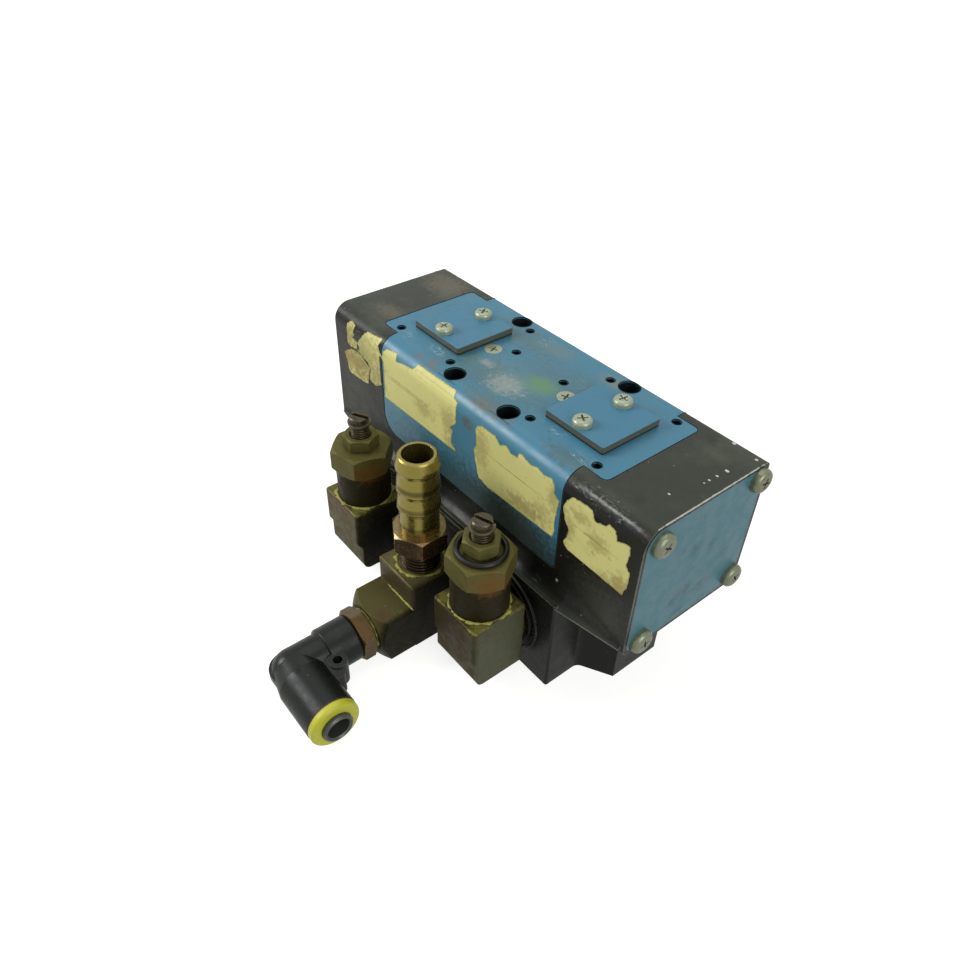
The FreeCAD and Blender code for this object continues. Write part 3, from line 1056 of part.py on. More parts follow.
def build():
    """Make every piece under the name of its node."""
    parts["valve_body"] = valve_body()
    parts["top_cover"] = top_cover()
    parts["cover_screws"] = Part.makeCompound(
        [countersunk_screw(Vector(x, COVER_SCREW_Y, HEAD_TOP_Z), Z_AXIS, 20) for x in (-COVER_SCREW_X, COVER_SCREW_X)])
    parts["blanking_screws"] = Part.makeCompound(
        [pan_screw(Vector(x, y, HEAD_TOP_Z + BLANK_GASKET + BLANK_THICKNESS), Z_AXIS, BLANK_HEAD_RADIUS,
                   BLANK_HEAD_HEIGHT, BLANK_SCREW_RADIUS, BLANK_SCREW_LENGTH, 20 * x + y)
         for x, y in blank_screw_points()])
    parts["spool_sleeve"] = spool_sleeve()
    parts["sleeve_seals"] = sleeve_seals()
    parts["sleeve_retaining_rings"] = sleeve_retaining_rings()
    parts["spool"] = spool()
    for name, side in SIDES:
        parts[name + "_blanking_gasket"] = blanking_plate(side, BLANK_GASKET, HEAD_TOP_Z)
        parts[name + "_blanking_plate"] = blanking_plate(side, BLANK_THICKNESS, HEAD_TOP_Z + BLANK_GASKET)
        parts[name + "_end_gasket"] = end_plate(side, GASKET_THICKNESS, PLATE_FLOOR_X, CHAMBER_RADIUS)
        parts[name + "_end_plate"] = end_plate(side, PLATE_THICKNESS, PLATE_FLOOR_X + GASKET_THICKNESS, 0)
        parts[name + "_end_plate_screws"] = end_plate_screws(side)
        parts[name + "_piston"] = piston(side)
        parts[name + "_piston_seal"] = piston_seal(side)
        parts[name + "_street_elbow"] = street_elbow(side)
        parts[name + "_flow_control_body"] = control_body(side)
        parts[name + "_gland_nut"] = gland_nut(side)
        parts[name + "_stem_seal"] = stem_seal(side)
        parts[name + "_adjusting_screw"] = adjusting_screw(side)
        parts[name + "_snap_ring"] = snap_ring(side)
        parts[name + "_metering_poppet"] = metering_poppet(side)
    parts["loose_o_ring"] = loose_ring()
    parts["street_tee"] = street_tee()
    parts["hose_barb"] = hose_barb()
    parts["push_in_stem"] = push_stem()
    parts["swivel_seal"] = swivel_seal()
    parts["push_in_elbow"] = push_elbow()
    parts["tube_seal"] = tube_seal()
    parts["copper_ring"] = copper_ring()
    parts["collar_ring"] = collar_ring()
    parts["release_sleeve"] = release_sleeve()


build()
os.makedirs("parts", exist_ok=True)
for node, shape in parts.items():
    shape.exportStep("parts/" + node + ".step")
    print(node, "solids", len(shape.Solids), "volume", round(shape.Volume, 1), "valid", shape.isValid())
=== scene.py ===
"""Looks of an air-piloted directional control valve, built on its CAD frame.

Sizes are in millimetres in the frame's own axes: X towards the right-hand end,
-Y out of the port face and +Z up. mm() turns them into Blender's metres.
"""

import logging
import math
from dataclasses import dataclass
from enum import Enum
from functools import cache

import bmesh
import bpy
from mathutils import Euler, Matrix, Vector, noise
from mathutils.bvhtree import BVHTree


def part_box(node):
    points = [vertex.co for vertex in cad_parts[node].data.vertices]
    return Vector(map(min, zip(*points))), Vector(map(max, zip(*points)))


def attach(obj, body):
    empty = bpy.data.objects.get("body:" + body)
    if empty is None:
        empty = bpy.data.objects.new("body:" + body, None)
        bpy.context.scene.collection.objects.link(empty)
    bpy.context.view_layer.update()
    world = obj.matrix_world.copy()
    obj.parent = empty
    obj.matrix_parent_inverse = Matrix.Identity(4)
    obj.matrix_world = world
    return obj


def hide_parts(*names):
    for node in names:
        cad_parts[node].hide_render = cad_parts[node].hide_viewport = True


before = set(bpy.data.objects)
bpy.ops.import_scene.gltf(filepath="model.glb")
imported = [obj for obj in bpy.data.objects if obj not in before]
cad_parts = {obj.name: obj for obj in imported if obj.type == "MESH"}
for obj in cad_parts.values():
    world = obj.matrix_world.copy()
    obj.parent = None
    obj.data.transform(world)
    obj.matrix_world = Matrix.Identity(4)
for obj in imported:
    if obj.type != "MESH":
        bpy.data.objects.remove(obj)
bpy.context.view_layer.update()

LOG = logging.getLogger("valve")
Colour = tuple[float, float, float]
Point = tuple[float, float, float]
Socket = bpy.types.NodeSocket

FRONT_FACE_Y = -33.6
HEAD_TOP_Z = 109.0
FITTING_Y = -57.4
EXHAUST_X = 43.0
TEE_X = 4.0
TEE_Y = -59.2
TEE_ARM_Z = 12.35
END_FACE_X = 100.0
PLATE_METAL_EDGE_Z = 110.9
ELBOW_FRONT_Y = -71.1
ELBOW_TOP_Z = 43.7
MARK_DEPTH = 3.0
BAND_REACH = 400
OPENING_Z = 97.5
OPENING_HALF_HEIGHT = 11.0
BEAD_RISE = 0.2
NOISE_SEED = 7
METRES_PER_MM = 0.001
MM_PER_METRE = 1000.0
WELD = 0.002


def mm(value: float) -> float:
    """Millimetres as metres."""
    return value * METRES_PER_MM


def mm_point(point: Point) -> Vector:
    """A point in millimetres as a vector in metres."""
    return Vector([mm(value) for value in point])


def srgb(red: int, green: int, blue: int) -> Colour:
    """A screen colour, 0 to 255, as linear light."""
    def linear(value: int) -> float:
        """One channel."""
        share = value / 255
        return share / 12.92 if share <= 0.04045 else ((share + 0.055) / 1.055) ** 2.4
    return (linear(red), linear(green), linear(blue))


def centre_of(node: str) -> Vector:
    """Middle of a CAD node's box, in millimetres."""
    low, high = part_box(node)
    return (low + high) * (MM_PER_METRE / 2)


def top_of(node: str) -> float:
    """Height of a CAD node's top, in millimetres."""
    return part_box(node)[1].z * MM_PER_METRE


def welded(node: str) -> bmesh.types.BMesh:
    """A copy of a CAD node's mesh with its double points merged."""
    shape = bmesh.new()
    shape.from_mesh(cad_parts[node].data)
    bmesh.ops.remove_doubles(shape, verts=shape.verts[:], dist=mm(WELD))
    return shape


class Side(Enum):
    """The two ends of the valve, with the sign of their X."""

    LEFT = -1
    RIGHT = 1

    def node(self, name: str) -> str:
        """A node's or body's name at this end."""
        return f"{self.name.lower()}_{name}"


class Axis(Enum):
    """Directions that pieces are turned about."""

    X = (1.0, 0.0, 0.0)
    Y = (0.0, 1.0, 0.0)
    Z = (0.0, 0.0, 1.0)

    def turn(self) -> Matrix:
        """Rotation that lays +Z along this direction."""
        return Vector((0, 0, 1)).rotation_difference(Vector(self.value)).to_matrix().to_4x4()


class MarkKind(Enum):
    """How a placed mark fills its place."""

    PATCH = "patch"
    BOX = "box"
    SCRATCHES = "scratches"


class Nodes:
    """Short ways to write a tree of shader or geometry nodes."""

    SPACING = 220
    MIX_FIRST = 6
    MIX_SECOND = 7
    MIX_RESULT = 2

    def __init__(self, tree: bpy.types.NodeTree) -> None:
        """Keeps the tree that nodes are added to."""
        self.tree = tree

    def add(self, kind: str, **settings: object) -> bpy.types.Node:
        """Adds a node with its settings.

        Args:
            kind: Blender's name for the node type.
            **settings: properties to set on it.

        Returns:
            The new node.
        """
        node = self.tree.nodes.new(kind)
        node.location = (self.SPACING * len(self.tree.nodes), 0)
        for name, value in settings.items():
            setattr(node, name, value)
        return node

    def feed(self, target: Socket, source: object) -> None:
        """Links a socket to an input, or sets the input's value."""
        if isinstance(source, Socket):
            self.tree.links.new(source, target)
        elif isinstance(source, tuple) and target.type == "RGBA":
            target.default_value = (*source, 1.0)
        else:
            target.default_value = source

    def math(self, operation: str, first: object, second: object = 0.0, clamp: bool = False) -> Socket:
        """One arithmetic step."""
        node = self.add("ShaderNodeMath", operation=operation, use_clamp=clamp)
        self.feed(node.inputs[0], first)
        self.feed(node.inputs[1], second)
        return node.outputs[0]

    def vector(self, operation: str, first: object, second: object = (0.0, 0.0, 0.0)) -> bpy.types.Node:
        """One vector step, as its node."""
        node = self.add("ShaderNodeVectorMath", operation=operation)
        self.feed(node.inputs[0], first)
        self.feed(node.inputs[1], second)
        return node

    def mix(self, share: object, first: object, second: object) -> Socket:
        """Blends two colours."""
        node = self.add("ShaderNodeMix", data_type="RGBA")
        self.feed(node.inputs["Factor"], share)
        self.feed(node.inputs[self.MIX_FIRST], first)
        self.feed(node.inputs[self.MIX_SECOND], second)
        return node.outputs[self.MIX_RESULT]

    def span(self, value: object, low: object, high: object,
             to_low: float = 0.0, to_high: float = 1.0) -> Socket:
        """Maps a value smoothly from one span to another, clamped."""
        node = self.add("ShaderNodeMapRange", interpolation_type="SMOOTHSTEP")
        self.feed(node.inputs["Value"], value)
        self.feed(node.inputs["From Min"], low)
        self.feed(node.inputs["From Max"], high)
        self.feed(node.inputs["To Min"], to_low)
        self.feed(node.inputs["To Max"], to_high)
        return node.outputs["Result"]

    def noise(self, place: object, scale: object, detail: float = 4.0, roughness: float = 0.55) -> Socket:
        """Cloud noise around one half."""
        node = self.add("ShaderNodeTexNoise")
        self.feed(node.inputs["Vector"], place)
        self.feed(node.inputs["Scale"], scale)
        self.feed(node.inputs["Detail"], detail)
        self.feed(node.inputs["Roughness"], roughness)
        return node.outputs[0]

    def place(self) -> Socket:
        """Object coordinates, in metres in the frame."""
        return self.add("ShaderNodeTexCoord").outputs["Object"]


class Effects:
    """Node groups that the finishes share, each built once."""

    BEVEL_SAMPLES = 5
    BEND_GAIN = 6.0
    HALF = 0.5
    WIDE_SHARE = 0.72
    FINE_FACTOR = 6.3
    SCRATCH_DIRECTIONS = ((0.5, 22.0), (-0.8, 16.0), (1.9, 28.0))
    STROKE_DIRECTIONS = ((0.35, 5.0), (-0.75, 4.0), (1.4, 6.0))
    LEVEL_FACES = (0.6, 0.98)

    @staticmethod
    def begin(name: str, inputs: dict[str, object],
              output: str) -> tuple[Nodes, dict[str, Socket], Socket]:
        """Makes an empty group with named sockets.

        Args:
            name: the group's name.
            inputs: each input's name and first value.
            output: the output's name.

        Returns:
            The tree's writer, the inputs by name and the output to feed.
        """
        tree = bpy.data.node_groups.new(name, "ShaderNodeTree")
        for label, value in inputs.items():
            kind = "NodeSocketVector" if isinstance(value, tuple) else "NodeSocketFloat"
            socket = tree.interface.new_socket(label, in_out="INPUT", socket_type=kind)
            socket.default_value = value
        tree.interface.new_socket(output, in_out="OUTPUT", socket_type="NodeSocketFloat")
        nodes = Nodes(tree)
        entry = nodes.add("NodeGroupInput")
        leave = nodes.add("NodeGroupOutput")
        return nodes, {label: entry.outputs[label] for label in inputs}, leave.inputs[output]

    @cache
    def edge_wear(self) -> bpy.types.NodeTree:
        """Ragged mask along sharp edges."""
        inputs = {"Width": 0.0005, "Amount": 0.5, "Raggedness": 0.6, "Scale": 500.0}
        nodes, given, out = self.begin("edge_wear", inputs, "Wear")
        rounded = nodes.add("ShaderNodeBevel", samples=self.BEVEL_SAMPLES)
        nodes.feed(rounded.inputs["Radius"], given["Width"])
        flat = nodes.add("ShaderNodeNewGeometry")
        alike = nodes.vector("DOT_PRODUCT", rounded.outputs[0], flat.outputs["Normal"])
        bend = nodes.math("SUBTRACT", 1.0, alike.outputs["Value"])
        strong = nodes.math("MULTIPLY", bend, self.BEND_GAIN, clamp=True)
        cloud = nodes.noise(nodes.place(), given["Scale"], 5.0, 0.65)
        offset = nodes.math("MULTIPLY", nodes.math("SUBTRACT", cloud, self.HALF), given["Raggedness"])
        raised = nodes.math("ADD", strong, offset)
        level = nodes.math("ADD", raised, nodes.math("SUBTRACT", given["Amount"], 1.0))
        bare = nodes.span(strong, 0.02, 0.2)
        nodes.feed(out, nodes.math("MULTIPLY", nodes.span(level, 0.0, 0.35), bare))
        return nodes.tree

    @cache
    def stain(self) -> bpy.types.NodeTree:
        """Patches of cloud, more of them with more cover."""
        inputs = {"Scale": 60.0, "Cover": 0.4, "Softness": 0.15, "Seed": (0.0, 0.0, 0.0)}
        nodes, given, out = self.begin("stain", inputs, "Mask")
        place = nodes.vector("ADD", nodes.place(), given["Seed"]).outputs[0]
        wide = nodes.noise(place, given["Scale"], 3.0, 0.5)
        fine = nodes.noise(place, nodes.math("MULTIPLY", given["Scale"], self.FINE_FACTOR), 5.0, 0.7)
        wide_part = nodes.math("MULTIPLY", wide, self.WIDE_SHARE)
        cloud = nodes.math("ADD", wide_part, nodes.math("MULTIPLY", fine, 1.0 - self.WIDE_SHARE))
        edge = nodes.math("SUBTRACT", 0.72, nodes.math("MULTIPLY", given["Cover"], 0.44))
        nodes.feed(out, nodes.span(cloud, edge, nodes.math("ADD", edge, given["Softness"])))
        return nodes.tree

    @cache
    def scratches(self) -> bpy.types.NodeTree:
        """Thin broken lines in a few directions."""
        nodes, given, out = self.begin("scratches", {"Scale": 120.0, "Amount": 0.4}, "Mask")
        total: object = 0.0
        for turn, stretch in self.SCRATCH_DIRECTIONS:
            mapping = nodes.add("ShaderNodeMapping")
            nodes.feed(mapping.inputs["Vector"], nodes.place())
            mapping.inputs["Rotation"].default_value = (turn * 0.6, turn * 0.4, turn)
            mapping.inputs["Scale"].default_value = (1.0, stretch, stretch * 0.4)
            half_scale = nodes.math("MULTIPLY", given["Scale"], self.HALF)
            line = nodes.noise(mapping.outputs[0], half_scale, 1.0, 0.4)
            off = nodes.math("ABSOLUTE", nodes.math("SUBTRACT", line, self.HALF))
            thin = nodes.span(off, 0.0, 0.02, 1.0, 0.0)
            moved = nodes.vector("ADD", nodes.place(), (turn, turn, 0.0)).outputs[0]
            least = nodes.math("SUBTRACT", 0.75, nodes.math("MULTIPLY", given["Amount"], 0.35))
            shown = nodes.span(nodes.noise(moved, 70.0, 3.0), least, 0.8)
            total = nodes.math("ADD", total, nodes.math("MULTIPLY", thin, shown), clamp=True)
        nodes.feed(out, total)
        return nodes.tree

    @cache
    def strokes(self) -> bpy.types.NodeTree:
        """A few thin crossing strokes, well apart."""
        nodes, given, out = self.begin("strokes", {"Scale": 130.0, "Thinness": 0.014}, "Mask")
        total: object = 0.0
        for turn, stretch in self.STROKE_DIRECTIONS:
            mapping = nodes.add("ShaderNodeMapping")
            nodes.feed(mapping.inputs["Vector"], nodes.place())
            mapping.inputs["Rotation"].default_value = (0.0, 0.0, turn)
            mapping.inputs["Scale"].default_value = (1.0, stretch, 1.5)
            line = nodes.noise(mapping.outputs[0], given["Scale"], 1.0, 0.4)
            off = nodes.math("ABSOLUTE", nodes.math("SUBTRACT", line, 0.47))
            thin = nodes.math("SUBTRACT", 1.0, nodes.span(off, 0.0, given["Thinness"]))
            moved = nodes.vector("ADD", nodes.place(), (turn, turn, 0.0)).outputs[0]
            gaps = nodes.noise(moved, nodes.math("MULTIPLY", given["Scale"], 2.6), 3.0)
            shown = nodes.span(gaps, 0.42, 0.62)
            total = nodes.math("ADD", total, nodes.math("MULTIPLY", thin, shown), clamp=True)
        nodes.feed(out, total)
        return nodes.tree

    @cache
    def specks(self) -> bpy.types.NodeTree:
        """Small scattered dots."""
        nodes, given, out = self.begin("specks", {"Scale": 700.0, "Amount": 0.2}, "Mask")
        cells = nodes.add("ShaderNodeTexVoronoi")
        nodes.feed(cells.inputs["Vector"], nodes.place())
        nodes.feed(cells.inputs["Scale"], given["Scale"])
        dot = nodes.span(cells.outputs["Distance"], 0.08, 0.3, 1.0, 0.0)
        chosen = nodes.add("ShaderNodeSeparateColor")
        nodes.feed(chosen.inputs[0], cells.outputs["Color"])
        level = nodes.math("SUBTRACT", 1.0, given["Amount"])
        shown = nodes.math("GREATER_THAN", chosen.outputs[0], level)
        nodes.feed(out, nodes.math("MULTIPLY", dot, shown))
        return nodes.tree

    @cache
    def spot(self) -> bpy.types.NodeTree:
        """One ragged mark at a place, round or, with Squareness 1, boxed."""
        inputs = {
            "Centre": (0.0, 0.0, 0.0), "Half Size": (0.01, 0.01, 0.01), "Cloud": 0.5, "Raggedness": 0.6,
            "Softness": 0.5, "Squareness": 0.0}
        nodes, given, out = self.begin("spot", inputs, "Mask")
        away = nodes.vector("SUBTRACT", nodes.place(), given["Centre"]).outputs[0]
        scaled = nodes.vector("DIVIDE", away, given["Half Size"]).outputs[0]
        parts = nodes.add("ShaderNodeSeparateXYZ")
        nodes.feed(parts.inputs[0], nodes.vector("ABSOLUTE", scaled).outputs[0])
        wider = nodes.math("MAXIMUM", parts.outputs[0], parts.outputs[1])
        boxed = nodes.math("MAXIMUM", wider, parts.outputs[2])
        rounded = nodes.vector("LENGTH", scaled).outputs["Value"]
        reach = nodes.math("MULTIPLY", nodes.math("SUBTRACT", boxed, rounded), given["Squareness"])
        uneven = nodes.math("SUBTRACT", given["Cloud"], self.HALF)
        ragged = nodes.math("MULTIPLY", uneven, given["Raggedness"])
        level = nodes.math("ADD", nodes.math("ADD", rounded, reach), ragged)
        inner = nodes.math("SUBTRACT", 1.0, given["Softness"])
        nodes.feed(out, nodes.math("SUBTRACT", 1.0, nodes.span(level, inner, 1.0)))
        return nodes.tree

    @cache
    def dust(self) -> bpy.types.NodeTree:
        """Patchy dust with a painted sheen on what faces up: every face that looks up is lightened."""
        nodes, given, out = self.begin("dust", {"Amount": 0.5, "Scale": 40.0}, "Mask")
        facing = nodes.add("ShaderNodeSeparateXYZ")
        nodes.feed(facing.inputs[0], nodes.add("ShaderNodeNewGeometry").outputs["Normal"])
        up = nodes.span(facing.outputs["Z"], *self.LEVEL_FACES)
        cloud = nodes.noise(nodes.place(), given["Scale"], 6.0, 0.62)
        least = nodes.math("SUBTRACT", 0.75, nodes.math("MULTIPLY", given["Amount"], self.HALF))
        patch = nodes.span(cloud, least, 0.78)
        layer = nodes.math("ADD", nodes.math("MULTIPLY", patch, 0.6), 0.4)
        nodes.feed(out, nodes.math("MULTIPLY", up, layer))
        return nodes.tree

    def use(self, nodes: Nodes, tree: bpy.types.NodeTree, **given: object) -> Socket:
        """Puts a group into a material.

        Args:
            nodes: the material's writer.
            tree: the group.
            **given: its inputs, with underscores for spaces.

        Returns:
            The group's output.
        """
        node = nodes.add("ShaderNodeGroup", node_tree=tree)
        for name, value in given.items():
            nodes.feed(node.inputs[name.replace("_", " ")], value)
        return node.outputs[0]


EFFECTS = Effects()


@dataclass(frozen=True)
class Spot:
    """A placed mark: stain, scuff, rust or scrape, or a painted shade or highlight."""

    centre: Point
    half_size: Point
    colour: Colour
    strength: float = 0.8
    raggedness: float = 0.9
    softness: float = 0.8
    kind: MarkKind = MarkKind.PATCH


@dataclass(frozen=True)
class Finish:
    """A surface: its colours, wear, dirt, gloss and grain, with some shade and highlights painted into the
    colour.
    """

    name: str
    colour: Colour
    drift: Colour
    drift_cover: float = 0.5
    drift_scale: float = 55.0
    roughness: float = 0.45
    roughness_drift: float = 0.15
    metallic: float = 0.0
    specular: float = 0.4
    edge: Colour | None = None
    edge_width: float = 0.5
    edge_amount: float = 0.6
    edge_raggedness: float = 0.8
    grime: Colour | None = None
    grime_cover: float = 0.3
    grime_scale: float = 90.0
    scrape: Colour | None = None
    scrape_amount: float = 0.4
    speck: Colour | None = None
    speck_amount: float = 0.1
    speck_scale: float = 700.0
    # Dust on faces that look up; its colour also paints the sheen that those faces catch.
    dust: Colour | None = None
    dust_amount: float = 0.5
    spot_scale: float = 450.0
    stroke_scale: float = 130.0
    grain_height: float = 0.00003
    grain_scale: float = 1800.0
    rounding: float = 0.25
    spots: tuple[Spot, ...] = ()

    DRIFT_SOFTNESS = 0.3
    TONE_FACTOR = 2.7
    TONE_SPAN = (0.3, 0.7)
    GRIME_SEED = (0.31, 0.17, 0.53)
    GRIME_SOFTNESS = 0.12
    GRIME_STRENGTH = 0.8
    GRIME_DULLNESS = 0.2
    SCRAPE_SCALE = 120.0
    SCRAPE_STRENGTH = 0.7
    SPECK_STRENGTH = 0.8
    DUST_AND_SHEEN_SCALE = 40.0
    SPOT_RAGGEDNESS = 2.0
    COARSE_GRAIN = 0.18
    BEVEL_SAMPLES = 4

    def base(self, nodes: Nodes) -> tuple[Socket, Socket]:
        """Lays the main colour, its drift and the grime.

        Args:
            nodes: the material's writer.

        Returns:
            The colour and the roughness.
        """
        patches = EFFECTS.use(
            nodes, EFFECTS.stain(), Scale=self.drift_scale, Cover=self.drift_cover,
            Softness=self.DRIFT_SOFTNESS)
        colour = nodes.mix(patches, self.colour, self.drift)
        tone = nodes.noise(nodes.place(), self.drift_scale * self.TONE_FACTOR, 4.0, 0.6)
        smooth = self.roughness - self.roughness_drift
        rough = nodes.span(tone, *self.TONE_SPAN, smooth, self.roughness + self.roughness_drift)
        if self.grime:
            dirt_and_shade = EFFECTS.use(
                nodes, EFFECTS.stain(), Scale=self.grime_scale, Cover=self.grime_cover,
                Softness=self.GRIME_SOFTNESS, Seed=self.GRIME_SEED)
            colour = nodes.mix(nodes.math("MULTIPLY", dirt_and_shade, self.GRIME_STRENGTH), colour, self.grime)
            dull = nodes.math("MULTIPLY", dirt_and_shade, self.GRIME_DULLNESS)
            rough = nodes.math("ADD", rough, dull, clamp=True)
        return colour, rough

    def wear(self, nodes: Nodes, colour: Socket) -> Socket:
        """Lays the scrapes, specks, dust with its painted sheen, and worn edges over a colour."""
        if self.scrape:
            lines = EFFECTS.use(
                nodes, EFFECTS.scratches(), Scale=self.SCRAPE_SCALE, Amount=self.scrape_amount)
            colour = nodes.mix(nodes.math("MULTIPLY", lines, self.SCRAPE_STRENGTH), colour, self.scrape)
        if self.speck:
            dots = EFFECTS.use(nodes, EFFECTS.specks(), Scale=self.speck_scale, Amount=self.speck_amount)
            colour = nodes.mix(nodes.math("MULTIPLY", dots, self.SPECK_STRENGTH), colour, self.speck)
        # dust, and a painted sheen, on every face that looks up
        if self.dust:
            dust_and_sheen_mask = EFFECTS.use(nodes, EFFECTS.dust(), Amount=self.dust_amount, Scale=self.DUST_AND_SHEEN_SCALE)
            colour = nodes.mix(dust_and_sheen_mask, colour, self.dust)
        if self.edge:
            worn = EFFECTS.use(
                nodes, EFFECTS.edge_wear(), Width=mm(self.edge_width), Amount=self.edge_amount,
                Raggedness=self.edge_raggedness)
            colour = nodes.mix(worn, colour, self.edge)
        return colour

    def marks(self, nodes: Nodes, colour: Socket) -> Socket:
        """Lays the placed marks over a colour, in their order."""
        if not self.spots:
            return colour
        cloud = nodes.noise(nodes.place(), self.spot_scale, 5.0, 0.65)
        if any(spot.kind is MarkKind.SCRATCHES for spot in self.spots):
            lines = EFFECTS.use(nodes, EFFECTS.strokes(), Scale=self.stroke_scale)
        for spot in self.spots:
            mask = EFFECTS.use(
                nodes, EFFECTS.spot(), Centre=mm_point(spot.centre), Half_Size=mm_point(spot.half_size),
                Cloud=cloud, Raggedness=spot.raggedness * self.SPOT_RAGGEDNESS, Softness=spot.softness,
                Squareness=1.0 if spot.kind is MarkKind.BOX else 0.0)
            if spot.kind is MarkKind.SCRATCHES:
                mask = nodes.math("MULTIPLY", mask, lines)
            colour = nodes.mix(nodes.math("MULTIPLY", mask, spot.strength), colour, spot.colour)
        return colour

    def grain(self, nodes: Nodes) -> Socket:
        """Normal of the surface: fine grain over slightly rounded edges."""
        fine = nodes.noise(nodes.place(), self.grain_scale, 3.0, 0.6)
        coarse = nodes.noise(nodes.place(), self.grain_scale * self.COARSE_GRAIN, 3.0, 0.5)
        bump = nodes.add("ShaderNodeBump")
        bump.inputs["Distance"].default_value = self.grain_height
        bump.inputs["Strength"].default_value = 1.0
        nodes.feed(bump.inputs["Height"], nodes.math("ADD", fine, coarse))
        if self.rounding:
            rounded = nodes.add("ShaderNodeBevel", samples=self.BEVEL_SAMPLES)
            rounded.inputs["Radius"].default_value = mm(self.rounding)
            nodes.feed(bump.inputs["Normal"], rounded.outputs[0])
        return bump.outputs[0]

    @cache
    def build(self) -> bpy.types.Material:
        """Makes the material, once for each finish."""
        material = bpy.data.materials.new(f"finish_{self.name}")
        material.use_nodes = True
        material.node_tree.nodes.clear()
        nodes = Nodes(material.node_tree)
        shader = nodes.add("ShaderNodeBsdfPrincipled")
        output = nodes.add("ShaderNodeOutputMaterial")
        colour, rough = self.base(nodes)
        colour = self.marks(nodes, self.wear(nodes, colour))
        nodes.feed(shader.inputs["Base Color"], colour)
        nodes.feed(shader.inputs["Roughness"], rough)
        shader.inputs["Metallic"].default_value = self.metallic
        shader.inputs["Specular IOR Level"].default_value = self.specular
        nodes.feed(shader.inputs["Normal"], self.grain(nodes))
        nodes.feed(output.inputs["Surface"], shader.outputs[0])
        return material


def dress(node: str, finish: Finish) -> None:
    """Gives a CAD node a finish."""
    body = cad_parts[node]
    body.data.materials.clear()
    body.data.materials.append(finish.build())


def add_piece(name: str, mesh: bpy.types.Mesh, body: str, finish: Finish) -> bpy.types.Object:
    """Puts a finished mesh into the scene.

    Args:
        name: the piece's name.
        mesh: its mesh, already in place in the frame.
        body: the CAD body that it moves with.
        finish: what it is painted with.

    Returns:
        The new object.
    """
    piece = bpy.data.objects.new(name, mesh)
    mesh.materials.clear()
    mesh.materials.append(finish.build())
    bpy.context.scene.collection.objects.link(piece)
    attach(piece, body)
    LOG.info("%s: %d faces on %s", name, len(mesh.polygons), body)
    return piece


def finished_mesh(name: str, shape: bmesh.types.BMesh, smooth: bool = True) -> bpy.types.Mesh:
    """Turns a bmesh into a mesh with its faces outward."""
    bmesh.ops.recalc_face_normals(shape, faces=shape.faces)
    for face in shape.faces:
        face.smooth = smooth
    mesh = bpy.data.meshes.new(name)
    shape.to_mesh(mesh)
    shape.free()
    return mesh


def grow(name: str, tree: bpy.types.NodeTree, start: bpy.types.Mesh,
         values: dict[str, object]) -> bpy.types.Mesh:
    """Runs a Geometry Nodes tree once and keeps its result as a plain mesh.

    Args:
        name: the mesh's name.
        tree: the Geometry Nodes tree.
        start: the mesh that goes into it.
        values: its inputs' values, by name.

    Returns:
        The plain mesh.
    """
    holder = bpy.data.objects.new(name, start)
    bpy.context.scene.collection.objects.link(holder)
    modifier = holder.modifiers.new("grow", "NODES")
    modifier.node_group = tree
    for item in tree.interface.items_tree:
        if item.in_out == "INPUT" and item.name in values:
            modifier[item.identifier] = values[item.name]
    bpy.context.view_layer.update()
    evaluated = holder.evaluated_get(bpy.context.evaluated_depsgraph_get())
    mesh = bpy.data.meshes.new_from_object(evaluated)
    holder.modifiers.clear()
    bpy.data.objects.remove(holder)
    mesh.polygons.foreach_set("use_smooth", [True] * len(mesh.polygons))
    return mesh


def begin_geometry(name: str, inputs: dict[str, str]) -> tuple[Nodes, bpy.types.Node]:
    """Starts a Geometry Nodes tree.

    Args:
        name: the tree's name.
        inputs: each input's name and kind.

    Returns:
        The tree's writer and the node that gives its inputs.
    """
    tree = bpy.data.node_groups.new(name, "GeometryNodeTree")
    for label, kind in inputs.items():
        tree.interface.new_socket(label, in_out="INPUT", socket_type=f"NodeSocket{kind}")
    tree.interface.new_socket("Geometry", in_out="OUTPUT", socket_type="NodeSocketGeometry")
    nodes = Nodes(tree)
    return nodes, nodes.add("NodeGroupInput")


def round_section(nodes: Nodes, corners: int, radius: object) -> Socket:
    """A round section to sweep, with a few corners."""
    section = nodes.add("GeometryNodeCurvePrimitiveCircle")
    section.inputs["Resolution"].default_value = corners
    nodes.feed(section.inputs["Radius"], radius)
    return section.outputs[0]


def end_geometry(nodes: Nodes, swept: Socket, finish: Socket) -> None:
    """Ends a Geometry Nodes tree with real, painted geometry."""
    real = nodes.add("GeometryNodeRealizeInstances")
    nodes.feed(real.inputs[0], swept)
    painted = nodes.add("GeometryNodeSetMaterial")
    nodes.feed(painted.inputs["Geometry"], real.outputs[0])
    nodes.feed(painted.inputs["Material"], finish)
    leave = nodes.add("NodeGroupOutput")
    nodes.feed(leave.inputs[0], painted.outputs[0])


